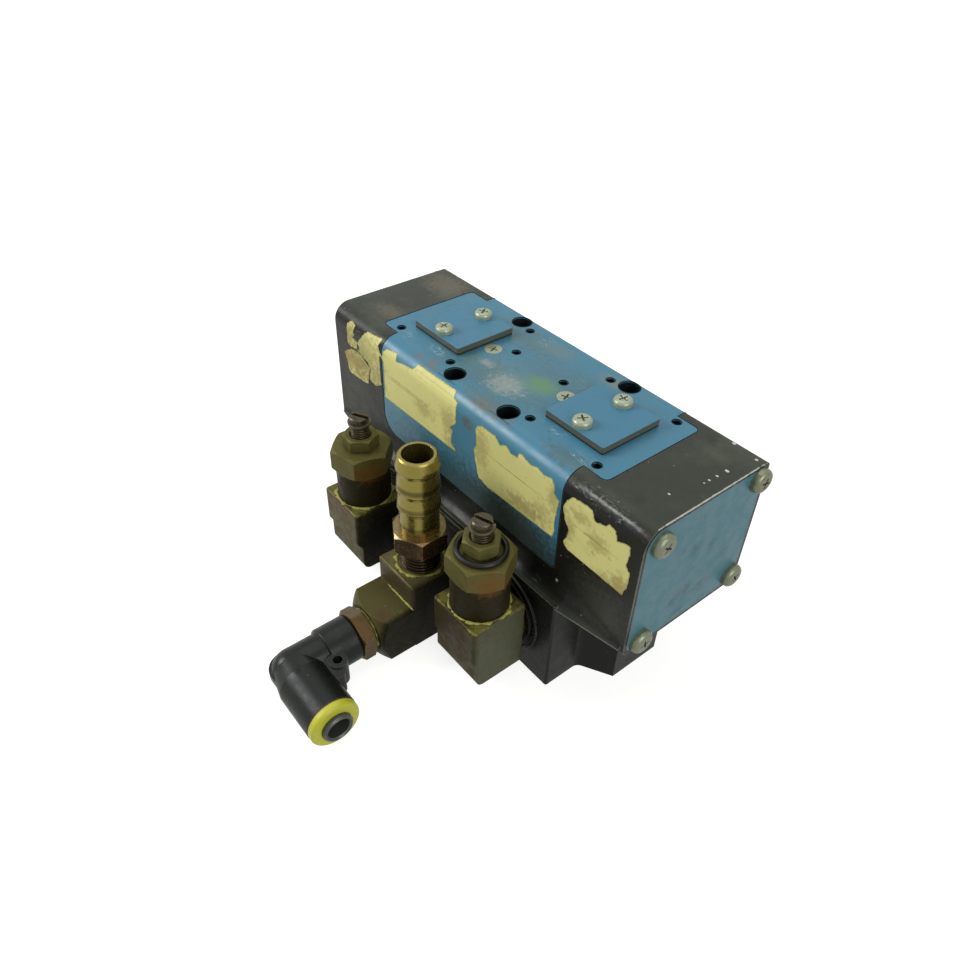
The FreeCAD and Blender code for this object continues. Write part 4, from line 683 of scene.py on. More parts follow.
class ThreadTree:
    """Geometry Nodes tree that sweeps a small ridge along a helix."""

    SEGMENTS_PER_TURN = 40
    SECTION = 6

    def __init__(self) -> None:
        """Builds the tree."""
        nodes, entry = begin_geometry("thread_ridge", {
            "Geometry": "Geometry", "Radius": "Float", "Pitch": "Float", "Turns": "Float", "Ridge": "Float",
            "Finish": "Material"})
        spiral = nodes.add("GeometryNodeCurveSpiral")
        spiral.inputs["Resolution"].default_value = self.SEGMENTS_PER_TURN
        height = nodes.math("MULTIPLY", entry.outputs["Pitch"], entry.outputs["Turns"])
        nodes.feed(spiral.inputs["Rotations"], entry.outputs["Turns"])
        nodes.feed(spiral.inputs["Start Radius"], entry.outputs["Radius"])
        nodes.feed(spiral.inputs["End Radius"], entry.outputs["Radius"])
        nodes.feed(spiral.inputs["Height"], height)
        section = round_section(nodes, self.SECTION, entry.outputs["Ridge"])
        sweep = nodes.add("GeometryNodeCurveToMesh")
        nodes.feed(sweep.inputs["Curve"], spiral.outputs[0])
        nodes.feed(sweep.inputs["Profile Curve"], section)
        sweep.inputs["Fill Caps"].default_value = True
        end_geometry(nodes, sweep.outputs[0], entry.outputs["Finish"])
        self.tree = nodes.tree

    def ridge(self, name: str, radius: float, pitch: float, length: float, depth: float,
              start: Vector, axis: Axis, finish: Finish) -> bpy.types.Mesh:
        """Makes one helix as a plain mesh.

        Args:
            name: the mesh's name.
            radius: from the axis to the middle of the ridge, in mm.
            pitch: rise in one turn, in mm.
            length: how far the thread runs, in mm.
            depth: half the ridge's thickness, in mm.
            start: where the helix starts on its axis, in mm.
            axis: the thread's direction.
            finish: what it is painted with.

        Returns:
            The mesh, in place.
        """
        values = {
            "Radius": mm(radius), "Pitch": mm(pitch), "Turns": length / pitch, "Ridge": mm(depth),
            "Finish": finish.build()}
        mesh = grow(name, self.tree, bpy.data.meshes.new(name), values)
        mesh.transform(Matrix.Translation(start * METRES_PER_MM) @ axis.turn())
        return mesh


class SweepTree:
    """Geometry Nodes tree that lays a round thread along a path of edges."""

    SECTION = 8
    THICKNESS = "thickness"

    def __init__(self) -> None:
        """Builds the tree."""
        nodes, entry = begin_geometry("thread_on_path", {"Path": "Geometry", "Finish": "Material"})
        path = nodes.add("GeometryNodeMeshToCurve")
        nodes.feed(path.inputs["Mesh"], entry.outputs["Path"])
        thickness = nodes.add("GeometryNodeInputNamedAttribute", data_type="FLOAT")
        thickness.inputs["Name"].default_value = self.THICKNESS
        sweep = nodes.add("GeometryNodeCurveToMesh")
        nodes.feed(sweep.inputs["Curve"], path.outputs[0])
        nodes.feed(sweep.inputs["Scale"], thickness.outputs[0])
        nodes.feed(sweep.inputs["Profile Curve"], round_section(nodes, self.SECTION, 1.0))
        sweep.inputs["Fill Caps"].default_value = True
        end_geometry(nodes, sweep.outputs[0], entry.outputs["Finish"])
        self.tree = nodes.tree

    def thread(self, name: str, points: list[Vector], edges: list[tuple[int, int]],
               thickness: list[float], finish: Finish) -> bpy.types.Mesh:
        """Lays a thread along edges.

        Args:
            name: the mesh's name.
            points: the path's points, in mm.
            edges: the pairs of points that it joins.
            thickness: half the thread's thickness at each point, in mm.
            finish: what it is painted with.

        Returns:
            The thread as a plain mesh.
        """
        path = bpy.data.meshes.new(f"{name}_path")
        path.from_pydata([point * METRES_PER_MM for point in points], edges, [])
        sizes = path.attributes.new(self.THICKNESS, "FLOAT", "POINT")
        sizes.data.foreach_set("value", [mm(value) for value in thickness])
        return grow(name, self.tree, path, {"Finish": finish.build()})


@dataclass(frozen=True)
class Bead:
    """Uneven bead of pipe sealant squeezed out round a joint."""

    centre: Vector
    axis: Axis
    radius: float
    thickness: float
    seed: float

    STEPS = 110
    FLATNESS = 0.65
    WAVE = 3.1
    RIPPLE = 11.0
    LEAST = 0.12
    EVEN = 0.75
    SWELL = 1.5
    GRAIN = 0.7
    WANDER = 0.9
    JITTER = 0.3

    def mesh(self, name: str, sweep: SweepTree) -> bpy.types.Mesh:
        """Lays the bead round the joint and presses it flat."""
        points = []
        thickness = []
        for step in range(self.STEPS):
            angle = math.tau * step / self.STEPS
            outward = Vector((math.cos(angle), math.sin(angle), 0))
            here = noise.noise(outward * self.WAVE + Vector((self.seed, 0, 0)))
            fine = noise.noise(outward * self.RIPPLE + Vector((0, self.seed, 0)))
            size = max(self.LEAST, self.EVEN + self.SWELL * here + self.GRAIN * fine)
            thickness.append(self.thickness * size)
            offset = self.thickness * (self.WANDER * here + self.JITTER * fine)
            points.append(outward * (self.radius + offset))
        edges = [(step, (step + 1) % self.STEPS) for step in range(self.STEPS)]
        mesh = sweep.thread(name, points, edges, thickness, SEALANT)
        flat = Matrix.Diagonal((1.0, 1.0, self.FLATNESS, 1.0))
        mesh.transform(Matrix.Translation(self.centre * METRES_PER_MM) @ self.axis.turn() @ flat)
        return mesh


@dataclass(frozen=True)
class SealantLine:
    """Uneven thread of sealant that lies in a corner, along X."""

    start: Vector
    length: float
    thickness: float
    seed: float

    STEPS = 60
    WAVE = 9.0
    RIPPLE = 31.0
    LEAST = 0.15
    EVEN = 0.8
    SWELL = 0.8
    GRAIN = 0.5
    SINK = 0.25
    WANDER = 0.5
    JITTER = 0.1
    END_SLOPE = 12
    END_LEAST = 0.1

    def mesh(self, name: str, sweep: SweepTree) -> bpy.types.Mesh:
        """Lays the thread along the corner."""
        points = []
        thickness = []
        for step in range(self.STEPS + 1):
            share = step / self.STEPS
            here = noise.noise(Vector((share * self.WAVE, self.seed, 0)))
            fine = noise.noise(Vector((share * self.RIPPLE, 0, self.seed)))
            taper = min(1.0, self.END_SLOPE * min(share, 1 - share) + self.END_LEAST)
            size = max(self.LEAST, self.EVEN + self.SWELL * here + self.GRAIN * fine)
            thick = self.thickness * size * taper
            thickness.append(thick)
            inward = -self.SINK * thick + self.WANDER * here
            points.append(self.start + Vector((self.length * share, inward, self.JITTER * fine)))
        edges = [(step, step + 1) for step in range(self.STEPS)]
        return sweep.thread(name, points, edges, thickness, SEALANT)


@dataclass(frozen=True)
class JointShadeAndDirt:
    """Dark thread in the joint round the cover and round the rims of its holes: painted shade of the gap,
    with some dirt.
    """

    node: str = "top_cover"
    radius: float = 0.2
    sharp_angle: float = 0.9
    facing: float = 0.5

    def mesh(self, name: str, sweep: SweepTree) -> bpy.types.Mesh:
        """Lays a thin dark thread, painted shade with some dirt, along each sharp outer edge of the node."""
        source = welded(self.node)
        source.verts.index_update()
        source.normal_update()
        kept = [edge for edge in source.edges if len(edge.link_faces) == 2 and self.is_outer(edge)]
        points: list[Vector] = []
        places: dict[int, int] = {}
        for vert in {vert.index: vert for edge in kept for vert in edge.verts}.values():
            places[vert.index] = len(points)
            points.append(vert.co * MM_PER_METRE)
        edges = [(places[edge.verts[0].index], places[edge.verts[1].index]) for edge in kept]
        source.free()
        return sweep.thread(name, points, edges, [self.radius] * len(points), JOINT_SHADE_AND_DIRT)

    def is_outer(self, edge: bmesh.types.BMEdge) -> bool:
        """Whether the edge is sharp, sticks out and bounds a face that looks up or forward."""
        if edge.calc_face_angle(0.0) < self.sharp_angle or not edge.is_convex:
            return False
        return any(
            face.normal.z > self.facing or face.normal.y < -self.facing for face in edge.link_faces)


@dataclass(frozen=True)
class Label:
    """Torn yellow label strip, bare, stuck over the front face."""

    name: str
    outline: tuple[tuple[float, float], ...]

    THICKNESS = 0.12
    DEPTH = 1.6
    CELL = 1.6
    STEP = 0.6
    CUT_LENGTH = 25.0
    CUT_WAVER = 0.15
    TORN_WAVER = 0.5
    WAVE = 0.9
    RIPPLE = 2.7
    TOP_GAP = 0.6
    RAY_START = 12

    def corners(self) -> list[tuple[float, float]]:
        """The outline as X and Z in mm, with its torn sides ragged."""
        corners = []
        for (x, z), (next_x, next_z) in zip(self.outline, self.outline[1:] + self.outline[:1]):
            length = math.hypot(next_x - x, next_z - z)
            steps = max(1, int(length / self.STEP))
            torn = self.CUT_WAVER if length > self.CUT_LENGTH else self.TORN_WAVER
            for step in range(steps):
                share = step / steps
                here = Vector((x + (next_x - x) * share, z + (next_z - z) * share, 0))
                wave = noise.noise_vector(here * self.WAVE) * torn
                wander = wave + noise.noise_vector(here * self.RIPPLE) * torn * 0.5
                corners.append((here.x + wander.x, here.y + wander.y))
        return corners

    def cut_cells(self, shape: bmesh.types.BMesh, corners: list[tuple[float, float]]) -> None:
        """Cuts the strip into small cells, so that it can follow the surface.

        Args:
            shape: the flat strip, with its places in mm.
            corners: its outline.
        """
        for part, normal in ((0, (1, 0, 0)), (1, (0, 0, 1))):
            low = min(corner[part] for corner in corners)
            high = max(corner[part] for corner in corners)
            for step in range(1, int((high - low) / self.CELL) + 1):
                place = Vector(normal) * (low + step * self.CELL)
                geom = shape.verts[:] + shape.edges[:] + shape.faces[:]
                bmesh.ops.bisect_plane(shape, geom=geom, plane_co=place, plane_no=normal)
        bmesh.ops.triangulate(shape, faces=shape.faces[:])

    def lay(self, shape: bmesh.types.BMesh, skin: BVHTree) -> None:
        """Moves the strip's points from mm in front of the surface onto it, in metres."""
        for vert in shape.verts:
            level = min(vert.co.z, HEAD_TOP_Z - self.TOP_GAP)
            start = mm_point((vert.co.x, FRONT_FACE_Y - self.RAY_START, level))
            hit = skin.ray_cast(start, Vector((0, 1, 0)))[0]
            depth = hit.y if hit else mm(FRONT_FACE_Y)
            vert.co = Vector((start.x, depth - mm(self.THICKNESS), start.z))

    def mesh(self, skin: BVHTree) -> bpy.types.Mesh:
        """Cuts the strip out, lays it on the surface and gives it its thickness.

        Args:
            skin: the surface that it sticks to.

        Returns:
            The strip's mesh.
        """
        corners = self.corners()
        shape = bmesh.new()
        shape.faces.new([shape.verts.new((x, FRONT_FACE_Y, z)) for x, z in corners])
        self.cut_cells(shape, corners)
        self.lay(shape, skin)
        back = bmesh.ops.extrude_face_region(shape, geom=shape.faces[:])
        moved = [item for item in back["geom"] if isinstance(item, bmesh.types.BMVert)]
        inward = Vector((0, mm(self.THICKNESS * self.DEPTH), 0))
        bmesh.ops.translate(shape, verts=moved, vec=inward)
        return finished_mesh(self.name, shape, smooth=False)


# Grime with painted shade, for the lower front of the cover.
GRIME_AND_SHADE = srgb(50, 49, 32)
# Painted shade for the insides of the cover's openings.
HOLE_SHADE = srgb(14, 16, 15)
BROWN_GRIME = srgb(88, 86, 62)
CHIPPED = srgb(200, 202, 195)
WHITE_SCRATCH = srgb(186, 198, 200)


def chip(x: float, y: float, reach: float) -> Spot:
    """A bright chip through the paint on the top of the casting."""
    return Spot((x, y, HEAD_TOP_Z), (reach * 0.8, reach * 0.6, 1.5), CHIPPED, 0.95, 0.6, 0.25)


def scuff(x: float, y: float, half: tuple[float, float], colour: Colour, strength: float,
          raggedness: float) -> Spot:
    """A scuff or stain on the top of the valve."""
    return Spot((x, y, HEAD_TOP_Z), (*half, MARK_DEPTH), colour, strength, raggedness)


def scratches(x: float, y: float, half: tuple[float, float], colour: Colour, strength: float) -> Spot:
    """A cluster of fine scratches on the top of the valve."""
    return Spot((x, y, HEAD_TOP_Z), (*half, MARK_DEPTH), colour, strength, 0.6, 0.6, MarkKind.SCRATCHES)


def opening(x: float, y: float, half: tuple[float, float]) -> Spot:
    """Painted shade inside an opening in the cover: its walls darkened nearly to black."""
    reach = (*half, OPENING_HALF_HEIGHT)
    return Spot((x, y, OPENING_Z), reach, HOLE_SHADE, 0.97, 0.0, 0.03, MarkKind.BOX)


def band(x: float, y: float, z: float, half: float, colour: Colour, strength: float,
         raggedness: float, softness: float = 0.8) -> Spot:
    """A level band of colour right across a piece that stands at x and y."""
    return Spot((x, y, z), (BAND_REACH, BAND_REACH, half), colour, strength, raggedness, softness)


def smudge(y: float, z: float, half: tuple[float, float]) -> Spot:
    """A dark smudge on the right end plate."""
    reach = (MARK_DEPTH, half[0] * 1.5, half[1] * 1.5)
    return Spot((END_FACE_X, y, z), reach, srgb(56, 74, 76), 0.42, 1.5, 0.95)


BLACK_PAINT = Finish(
    "casting_black", srgb(24, 25, 21), srgb(34, 35, 30), drift_cover=0.45, roughness=0.32,
    roughness_drift=0.08, specular=0.16, edge=srgb(128, 129, 120), edge_width=0.5, edge_amount=0.55,
    grime=srgb(60, 58, 48), grime_cover=0.12, scrape=srgb(120, 122, 116), scrape_amount=0.3,
    # the dust colour also lightens every up-facing face of the casting as a painted sheen
    speck=srgb(150, 150, 142), speck_amount=0.012, dust=srgb(74, 80, 68), dust_amount=0.65,
    grain_height=0.00005, grain_scale=1500.0,
    spots=(
        scuff(-84, 22, (20, 14), srgb(98, 94, 78), 0.75, 0.9),
        scuff(-78, -16, (14, 8), srgb(96, 92, 76), 0.7, 0.9),
        scuff(85.6, -21.9, (3.2, 3.2), srgb(44, 46, 41), 0.7, 1.0),
        scuff(78.4, 26.2, (3.8, 3.4), srgb(40, 42, 38), 0.75, 1.2),
        chip(84.9, 31.4, 1.3), chip(93.8, 15.6, 1.2), chip(93.5, 10.3, 0.9), chip(93.3, 6.2, 0.8),
        chip(93.2, 3.4, 0.6), chip(89.6, -11.3, 0.8), chip(96.4, 29.8, 1.0),
        Spot((76, -31, 107), (19, 5, 5), srgb(176, 178, 172), 0.85, 0.9, 0.8, MarkKind.SCRATCHES),
        # Light line along the top of the right end's rim: worn edge with a painted highlight.
        Spot((99.9, 0, 109), (0.42, 33, 0.42), srgb(190, 190, 182), 0.8, 0.9, 0.3, MarkKind.BOX),
        # Painted highlight along the rounded front edge of the right end.
        Spot((81, -31.7, 107.4), (18.5, 1.3, 1.3), srgb(178, 180, 176), 0.8, 0.5, 0.9, MarkKind.BOX),
        # Light line down the front right corner: worn edge with a painted highlight.
        Spot((99.9, -33.6, 80), (0.4, 0.4, 26), srgb(120, 122, 114), 0.6, 0.8, 0.4, MarkKind.BOX),
        # Painted shade on the lug and in the recess under the right end's overhang.
        Spot((84, -16, 22), (16, 26, 23.5), srgb(17, 18, 13), 0.75, 0.0, 0.2, MarkKind.BOX),
        # Painted shade on the port face behind the fittings.
        Spot((0, -41, 26), (70, 2.2, 24), srgb(16, 16, 13), 0.85, 0.0, 0.3, MarkKind.BOX),
        Spot((84, -33.6, 60), (22, 3, 20), srgb(50, 52, 44), 0.85, 0.8),
        # Lighter patch on the left end's front face: a painted sheen.
        Spot((-86, -33.6, 72), (22, 4, 42), srgb(50, 52, 45), 0.6, 0.5),
        Spot((62.3, -33.6, 56.5), (1.2, 2, 1.0), CHIPPED, 0.8, 0.8)))
BLUE_PAINT = Finish(
    "cover_blue", srgb(60, 118, 143), srgb(72, 118, 134), drift_cover=0.5, roughness=0.36,
    roughness_drift=0.08, specular=0.35, edge=srgb(104, 134, 142), edge_width=0.4, edge_amount=0.25,
    grime=srgb(84, 100, 94), grime_cover=0.3, grime_scale=130.0, scrape=srgb(140, 168, 178),
    scrape_amount=0.28, speck=srgb(70, 74, 64), speck_amount=0.02,
    spots=(
        scuff(-2, -7, (28, 14), srgb(98, 130, 130), 0.45, 1.0),
        scuff(-8, -14, (50, 16), srgb(70, 92, 84), 0.5, 1.4),
        scuff(20, 8, (46, 18), srgb(76, 98, 92), 0.45, 1.4),
        scuff(52, -26, (16, 7), srgb(70, 84, 74), 0.55, 1.3),
        scuff(-20, 20, (26, 12), srgb(78, 96, 86), 0.5, 1.4),
        scuff(2, -12.5, (13, 10), srgb(140, 152, 146), 0.7, 1.0),
        scuff(-15.9, -8.1, (6, 3.5), srgb(146, 156, 150), 0.6, 1.0),
        scuff(11.5, -1.0, (12, 9), srgb(92, 132, 88), 0.8, 0.5),
        scuff(9, -30, (20, 9), srgb(96, 96, 80), 0.8, 1.0),
        scuff(-30, -28.5, (7, 6), srgb(104, 104, 92), 0.6, 1.0),
        scuff(-38.5, -27.4, (3.5, 3.5), srgb(110, 94, 78), 0.6, 1.0),
        scuff(28, 25, (11, 6), srgb(112, 120, 104), 0.65, 1.0),
        scuff(-5, 24, (14, 7), srgb(100, 122, 118), 0.5, 1.1),
        opening(0, 5, (80, 28.2)), opening(17.4, -24.2, (6, 4.9)), opening(-17.4, -24.2, (6, 4.9)),
        scratches(-37.3, -19, (8, 4), WHITE_SCRATCH, 1.0),
        scratches(-56.3, -21.8, (6, 4), WHITE_SCRATCH, 0.7),
        scratches(-13.8, 24, (4, 7), WHITE_SCRATCH, 0.9), scratches(39, -16.1, (7, 5), WHITE_SCRATCH, 1.0),
        scratches(57, -20.5, (8, 5), WHITE_SCRATCH, 1.0), scratches(22, 13, (8, 5), srgb(160, 166, 152), 0.7),
        scratches(50, 22, (9, 4), srgb(120, 150, 158), 0.7),
        scratches(2, -12.5, (13, 10), srgb(176, 184, 178), 0.7),
        Spot((3, FRONT_FACE_Y, 99.4), (4, 3, 5), BROWN_GRIME, 0.7, 1.2),
        # Lower front of the cover darkened: grime, with painted shade where the fittings stand before it.
        Spot((36, FRONT_FACE_Y, 66), (48, 3, 20), GRIME_AND_SHADE, 0.85, 0.7),
        Spot((0, FRONT_FACE_Y, 62), (74, 4, 24), srgb(45, 54, 42), 0.7, 0.7)))
PLATE_PAINT = Finish(
    "blanking_plate_blue", srgb(58, 116, 143), srgb(68, 118, 138), drift_cover=0.5, roughness=0.36,
    roughness_drift=0.08, specular=0.35, edge=srgb(120, 128, 124), edge_width=0.3, edge_amount=0.35,
    grime=srgb(80, 98, 96), grime_cover=0.12, scrape=srgb(140, 168, 178), scrape_amount=0.25,
    speck=srgb(56, 62, 56), speck_amount=0.03,
    spots=(band(0, 0, PLATE_METAL_EDGE_Z, 1.35, srgb(84, 84, 68), 0.95, 0.0, 0.1),))
PLATE_BLUE = Finish(
    "end_plate_blue", srgb(66, 111, 125), srgb(72, 111, 120), drift_cover=0.5, roughness=0.4,
    roughness_drift=0.1, specular=0.3, edge=srgb(130, 146, 150), edge_width=0.3, edge_amount=0.3,
    grime=srgb(66, 84, 84), grime_cover=0.12, speck=srgb(44, 54, 54), speck_amount=0.03,
    grain_height=0.00001,
    spots=(
        smudge(-2.4, 84.2, (3.5, 3.5)), smudge(8.3, 81.5, (3, 2.5)), smudge(-3.3, 63.1, (5, 4)),
        smudge(7.9, 59.8, (5, 4)), smudge(-8.6, 59.4, (3, 3)), smudge(-4, 51, (4, 2)),
        smudge(18, 70, (2, 2))))
# Near-black for the thread in the cover's joint: painted shade of the gap, with some dirt.
JOINT_SHADE_AND_DIRT = Finish(
    "joint_shade_and_dirt", srgb(20, 26, 26), srgb(40, 50, 48), roughness=0.7, specular=0.1, rounding=0.0)
GASKET = Finish("gasket", srgb(22, 23, 19), srgb(34, 33, 27), roughness=0.7, grain_height=0.00004)
ZINC = Finish(
    "zinc_screw", srgb(151, 161, 139), srgb(138, 146, 124), drift_scale=220.0, metallic=0.3, roughness=0.34,
    edge=srgb(182, 186, 170), edge_width=0.3, edge_amount=0.45, grime=srgb(84, 80, 58), grime_cover=0.03,
    grime_scale=320.0)
END_ZINC = Finish(
    "zinc_end_screw", srgb(119, 126, 104), srgb(98, 103, 80), drift_scale=220.0, metallic=0.5, roughness=0.34,
    edge=srgb(160, 164, 146), edge_width=0.3, edge_amount=0.45, grime=srgb(62, 58, 42), grime_cover=0.25,
    grime_scale=320.0,
    spots=(
        Spot((102, 28.4, 102.8), (4, 6, 6), srgb(104, 78, 48), 0.6, 1.2),
        Spot((102, 28.2, 52.4), (4, 5, 5), srgb(100, 88, 60), 0.4, 1.2)))


def aged_brass(name: str, colour: Colour, drift: Colour, spots: tuple[Spot, ...] = ()) -> Finish:
    """Brass gone dark with age and handling.

    Args:
        name: the finish's name.
        colour: its main colour.
        drift: the colour that patches of it drift to.
        spots: marks at their own places.

    Returns:
        The finish.
    """
    return Finish(
        name, colour, drift, drift_cover=0.5, drift_scale=85.0, metallic=0.25, specular=0.06, roughness=0.42,
        edge=srgb(118, 108, 72), edge_width=0.4, edge_amount=0.35, grime=srgb(34, 30, 23), grime_cover=0.25,
        grime_scale=150.0, scrape=srgb(120, 114, 84), scrape_amount=0.3, speck=srgb(130, 124, 96),
        speck_amount=0.02, grain_height=0.00005, spots=spots)


def face_patch(x: float, y: float, z: float, half: Point, colour: Colour, strength: float) -> Spot:
    """A soft change of colour over one face of a fitting, used both for the brass's own tone and for painted
    shade and painted light on that face.
    """
    return Spot((x, y, z), half, colour, strength, 0.3, 0.9)


def sealant_smears(x: float) -> tuple[Spot, ...]:
    """Sealant wiped over the top of an elbow whose fitting stands at x."""
    dried = srgb(116, 112, 52)
    return (
        Spot((x - 9.5, FITTING_Y - 10.5, ELBOW_TOP_Z), (6, 4, 1.5), dried, 0.6, 1.2, 0.6),
        Spot((x + 10.5, FITTING_Y - 9.0, ELBOW_TOP_Z), (4, 6, 1.5), dried, 0.75, 1.2, 0.6),
        Spot((x + 11.5, FITTING_Y + 7.0, ELBOW_TOP_Z), (3, 6, 1.5), dried, 0.6, 1.4, 0.6))


LEFT_ELBOW_BRASS = aged_brass(
    "brass_left_elbow", srgb(80, 74, 48), srgb(76, 62, 44), (
        # Near-black right face of the left elbow: painted shade from the tee beside it.
        face_patch(-EXHAUST_X + 13.7, FITTING_Y, 26, (4, 40, 44), srgb(14, 14, 9), 0.95),
        face_patch(-EXHAUST_X, ELBOW_FRONT_Y, 40, (14, 3, 6), srgb(88, 60, 46), 0.7),
        *sealant_smears(-EXHAUST_X)))
RIGHT_ELBOW_BRASS = aged_brass(
    "brass_right_elbow", srgb(68, 62, 37), srgb(72, 54, 38), (
        # Lighter right face of the right elbow: painted light from the right-hand side.
        face_patch(EXHAUST_X + 13.7, FITTING_Y, 24, (4, 40, 44), srgb(82, 85, 66), 0.92),
        # Darker front face of the right elbow: painted shade from the tee and push-in elbow.
        face_patch(EXHAUST_X, ELBOW_FRONT_Y, 26, (40, 4, 40), srgb(48, 40, 24), 0.85),
        *sealant_smears(EXHAUST_X),
        face_patch(EXHAUST_X + 5, ELBOW_FRONT_Y, 25, (7, 3, 12), srgb(66, 40, 30), 0.6),
        Spot((EXHAUST_X + 8, ELBOW_FRONT_Y, 13), (3, 2, 2), CHIPPED, 0.6, 1.6)))


def control_brass(side: Side, neck_top: float) -> Finish:
    """Finish of a flow control: olive hexagon, darker neck, orange-brown cast on its right."""
    x = EXHAUST_X * side.value
    return aged_brass(
        side.node("control_brass"), srgb(90, 87, 48), srgb(84, 64, 38), (
            band(x, FITTING_Y, neck_top - 12, 12, srgb(29, 24, 15), 0.92, 0.1, 0.12),
            Spot((x + 11, FITTING_Y - 3, neck_top + 3), (8, 14, 9), srgb(108, 72, 28), 0.7, 0.9, 0.95),
            face_patch(x - 4, FITTING_Y - 9, neck_top - 12, (6, 6, 5), srgb(66, 42, 36), 0.6),
            face_patch(x, FITTING_Y, neck_top + 11, (11, 11, 1.5), srgb(60, 58, 36), 0.6)))


TEE_BRASS = aged_brass(
    "brass_tee", srgb(78, 74, 44), srgb(76, 56, 40), (
        # Near-black right face of the tee: painted shade from the right elbow beside it.
        face_patch(TEE_X + 13.25, -72, 18, (4, 70, 60), srgb(20, 20, 13), 0.93),
        face_patch(TEE_X, -72.5, 31, (30, 2, 9), srgb(68, 56, 42), 0.8),
        # Lighter top of the tee: painted light on the face that looks up.
        face_patch(TEE_X - 3, TEE_Y - 3, 36.7, (18, 18, 3), srgb(124, 112, 76), 0.85),
        face_patch(TEE_X + 7, -84, 24, (6, 6, 2), srgb(76, 60, 42), 0.6)))
BARB_BRASS = Finish(
    "barb_brass", srgb(138, 126, 66), srgb(114, 102, 52), drift_scale=130.0, metallic=0.9, roughness=0.26,
    roughness_drift=0.06, edge=srgb(150, 140, 92), edge_width=0.3, edge_amount=0.3, grime=srgb(66, 57, 30),
    grime_cover=0.16, grime_scale=120.0,
    spots=(
        band(TEE_X, TEE_Y, 46.5, 12, srgb(122, 104, 80), 0.94, 0.15, 0.1),
        face_patch(TEE_X + 10, TEE_Y - 4, 53, (7, 12, 10), srgb(136, 102, 68), 0.6),
        band(TEE_X, TEE_Y, 40, 8.2, srgb(40, 30, 24), 0.9, 0.1, 0.1),
        band(TEE_X, TEE_Y, 61.5, 1.6, srgb(70, 62, 34), 0.6, 0.3),
        band(TEE_X, TEE_Y, 72.0, 1.6, srgb(70, 62, 34), 0.6, 0.3),
        band(TEE_X, TEE_Y, 82.0, 2.0, srgb(58, 54, 34), 0.7, 0.3)))
STEM_BRASS = Finish(
    "stem_brass", srgb(84, 64, 32), srgb(74, 50, 29), drift_scale=120.0, metallic=0.4, specular=0.35,
    roughness=0.36, edge=srgb(140, 110, 60), edge_width=0.3, edge_amount=0.4, grime=srgb(58, 38, 24),
    grime_cover=0.3)
SCREW_STEEL = Finish(
    "screw_steel", srgb(66, 60, 42), srgb(48, 42, 28), drift_scale=180.0, metallic=0.65, roughness=0.3,
    edge=srgb(160, 152, 128), edge_width=0.25, edge_amount=0.45, grime=srgb(36, 30, 20), grime_cover=0.35,
    grime_scale=240.0)
SPOOL_STEEL = Finish("spool_steel", srgb(190, 190, 190), srgb(170, 170, 170), metallic=0.9, roughness=0.25)
SLEEVE_METAL = Finish(
    "sleeve_aluminium", srgb(196, 196, 198), srgb(176, 176, 178), metallic=0.8, roughness=0.35)
SPRING_STEEL = Finish("spring_steel", srgb(88, 82, 62), srgb(66, 58, 42), metallic=0.6, roughness=0.35)
RUBBER = Finish(
    "black_rubber", srgb(15, 16, 14), srgb(24, 25, 22), specular=0.25, roughness=0.36, grain_height=0.00002)
GREY_PLASTIC = Finish(
    "housing_charcoal", srgb(19, 23, 20), srgb(28, 32, 28), specular=0.2, roughness=0.33, roughness_drift=0.1,
    edge=srgb(92, 95, 90), edge_width=0.4, edge_amount=0.25, grime=srgb(72, 72, 62), grime_cover=0.14,
    speck=srgb(140, 140, 130), speck_amount=0.02)
DARK_PLASTIC = Finish("sleeve_dark", srgb(62, 65, 62), srgb(76, 78, 73), specular=0.5, roughness=0.35)
COPPER = Finish("copper_trim", srgb(98, 74, 52), srgb(72, 52, 38), metallic=0.5, roughness=0.38)
LIME = Finish(
    "collar_lime", srgb(184, 186, 50), srgb(170, 172, 50), roughness=0.35, grime=srgb(132, 126, 62),
    grime_cover=0.2, grime_scale=200.0)
SEALANT = Finish(
    "pipe_sealant", srgb(150, 150, 72), srgb(112, 108, 56), drift_scale=260.0, roughness=0.55,
    grime=srgb(92, 82, 50), grime_cover=0.35, grime_scale=320.0, rounding=0.0)
LABEL_BROWN = srgb(140, 122, 70)


def label_stain(x: float, z: float, half: tuple[float, float], strength: float,
                raggedness: float) -> Spot:
    """A brown stain on the labels."""
    reach = (half[0] * 1.6, 7.0, half[1] * 1.6)
    return Spot((x, FRONT_FACE_Y, z), reach, LABEL_BROWN, strength * 0.8, raggedness * 0.6)


def label_overlap_shadow(start: float, end: float, z: float) -> Spot:
    """A thin painted shadow line where one strip of label overlaps the next."""
    middle = ((start + end) / 2, FRONT_FACE_Y, z)
    return Spot(middle, ((end - start) / 2, 6.0, 0.3), srgb(120, 112, 70), 0.8, 0.8)


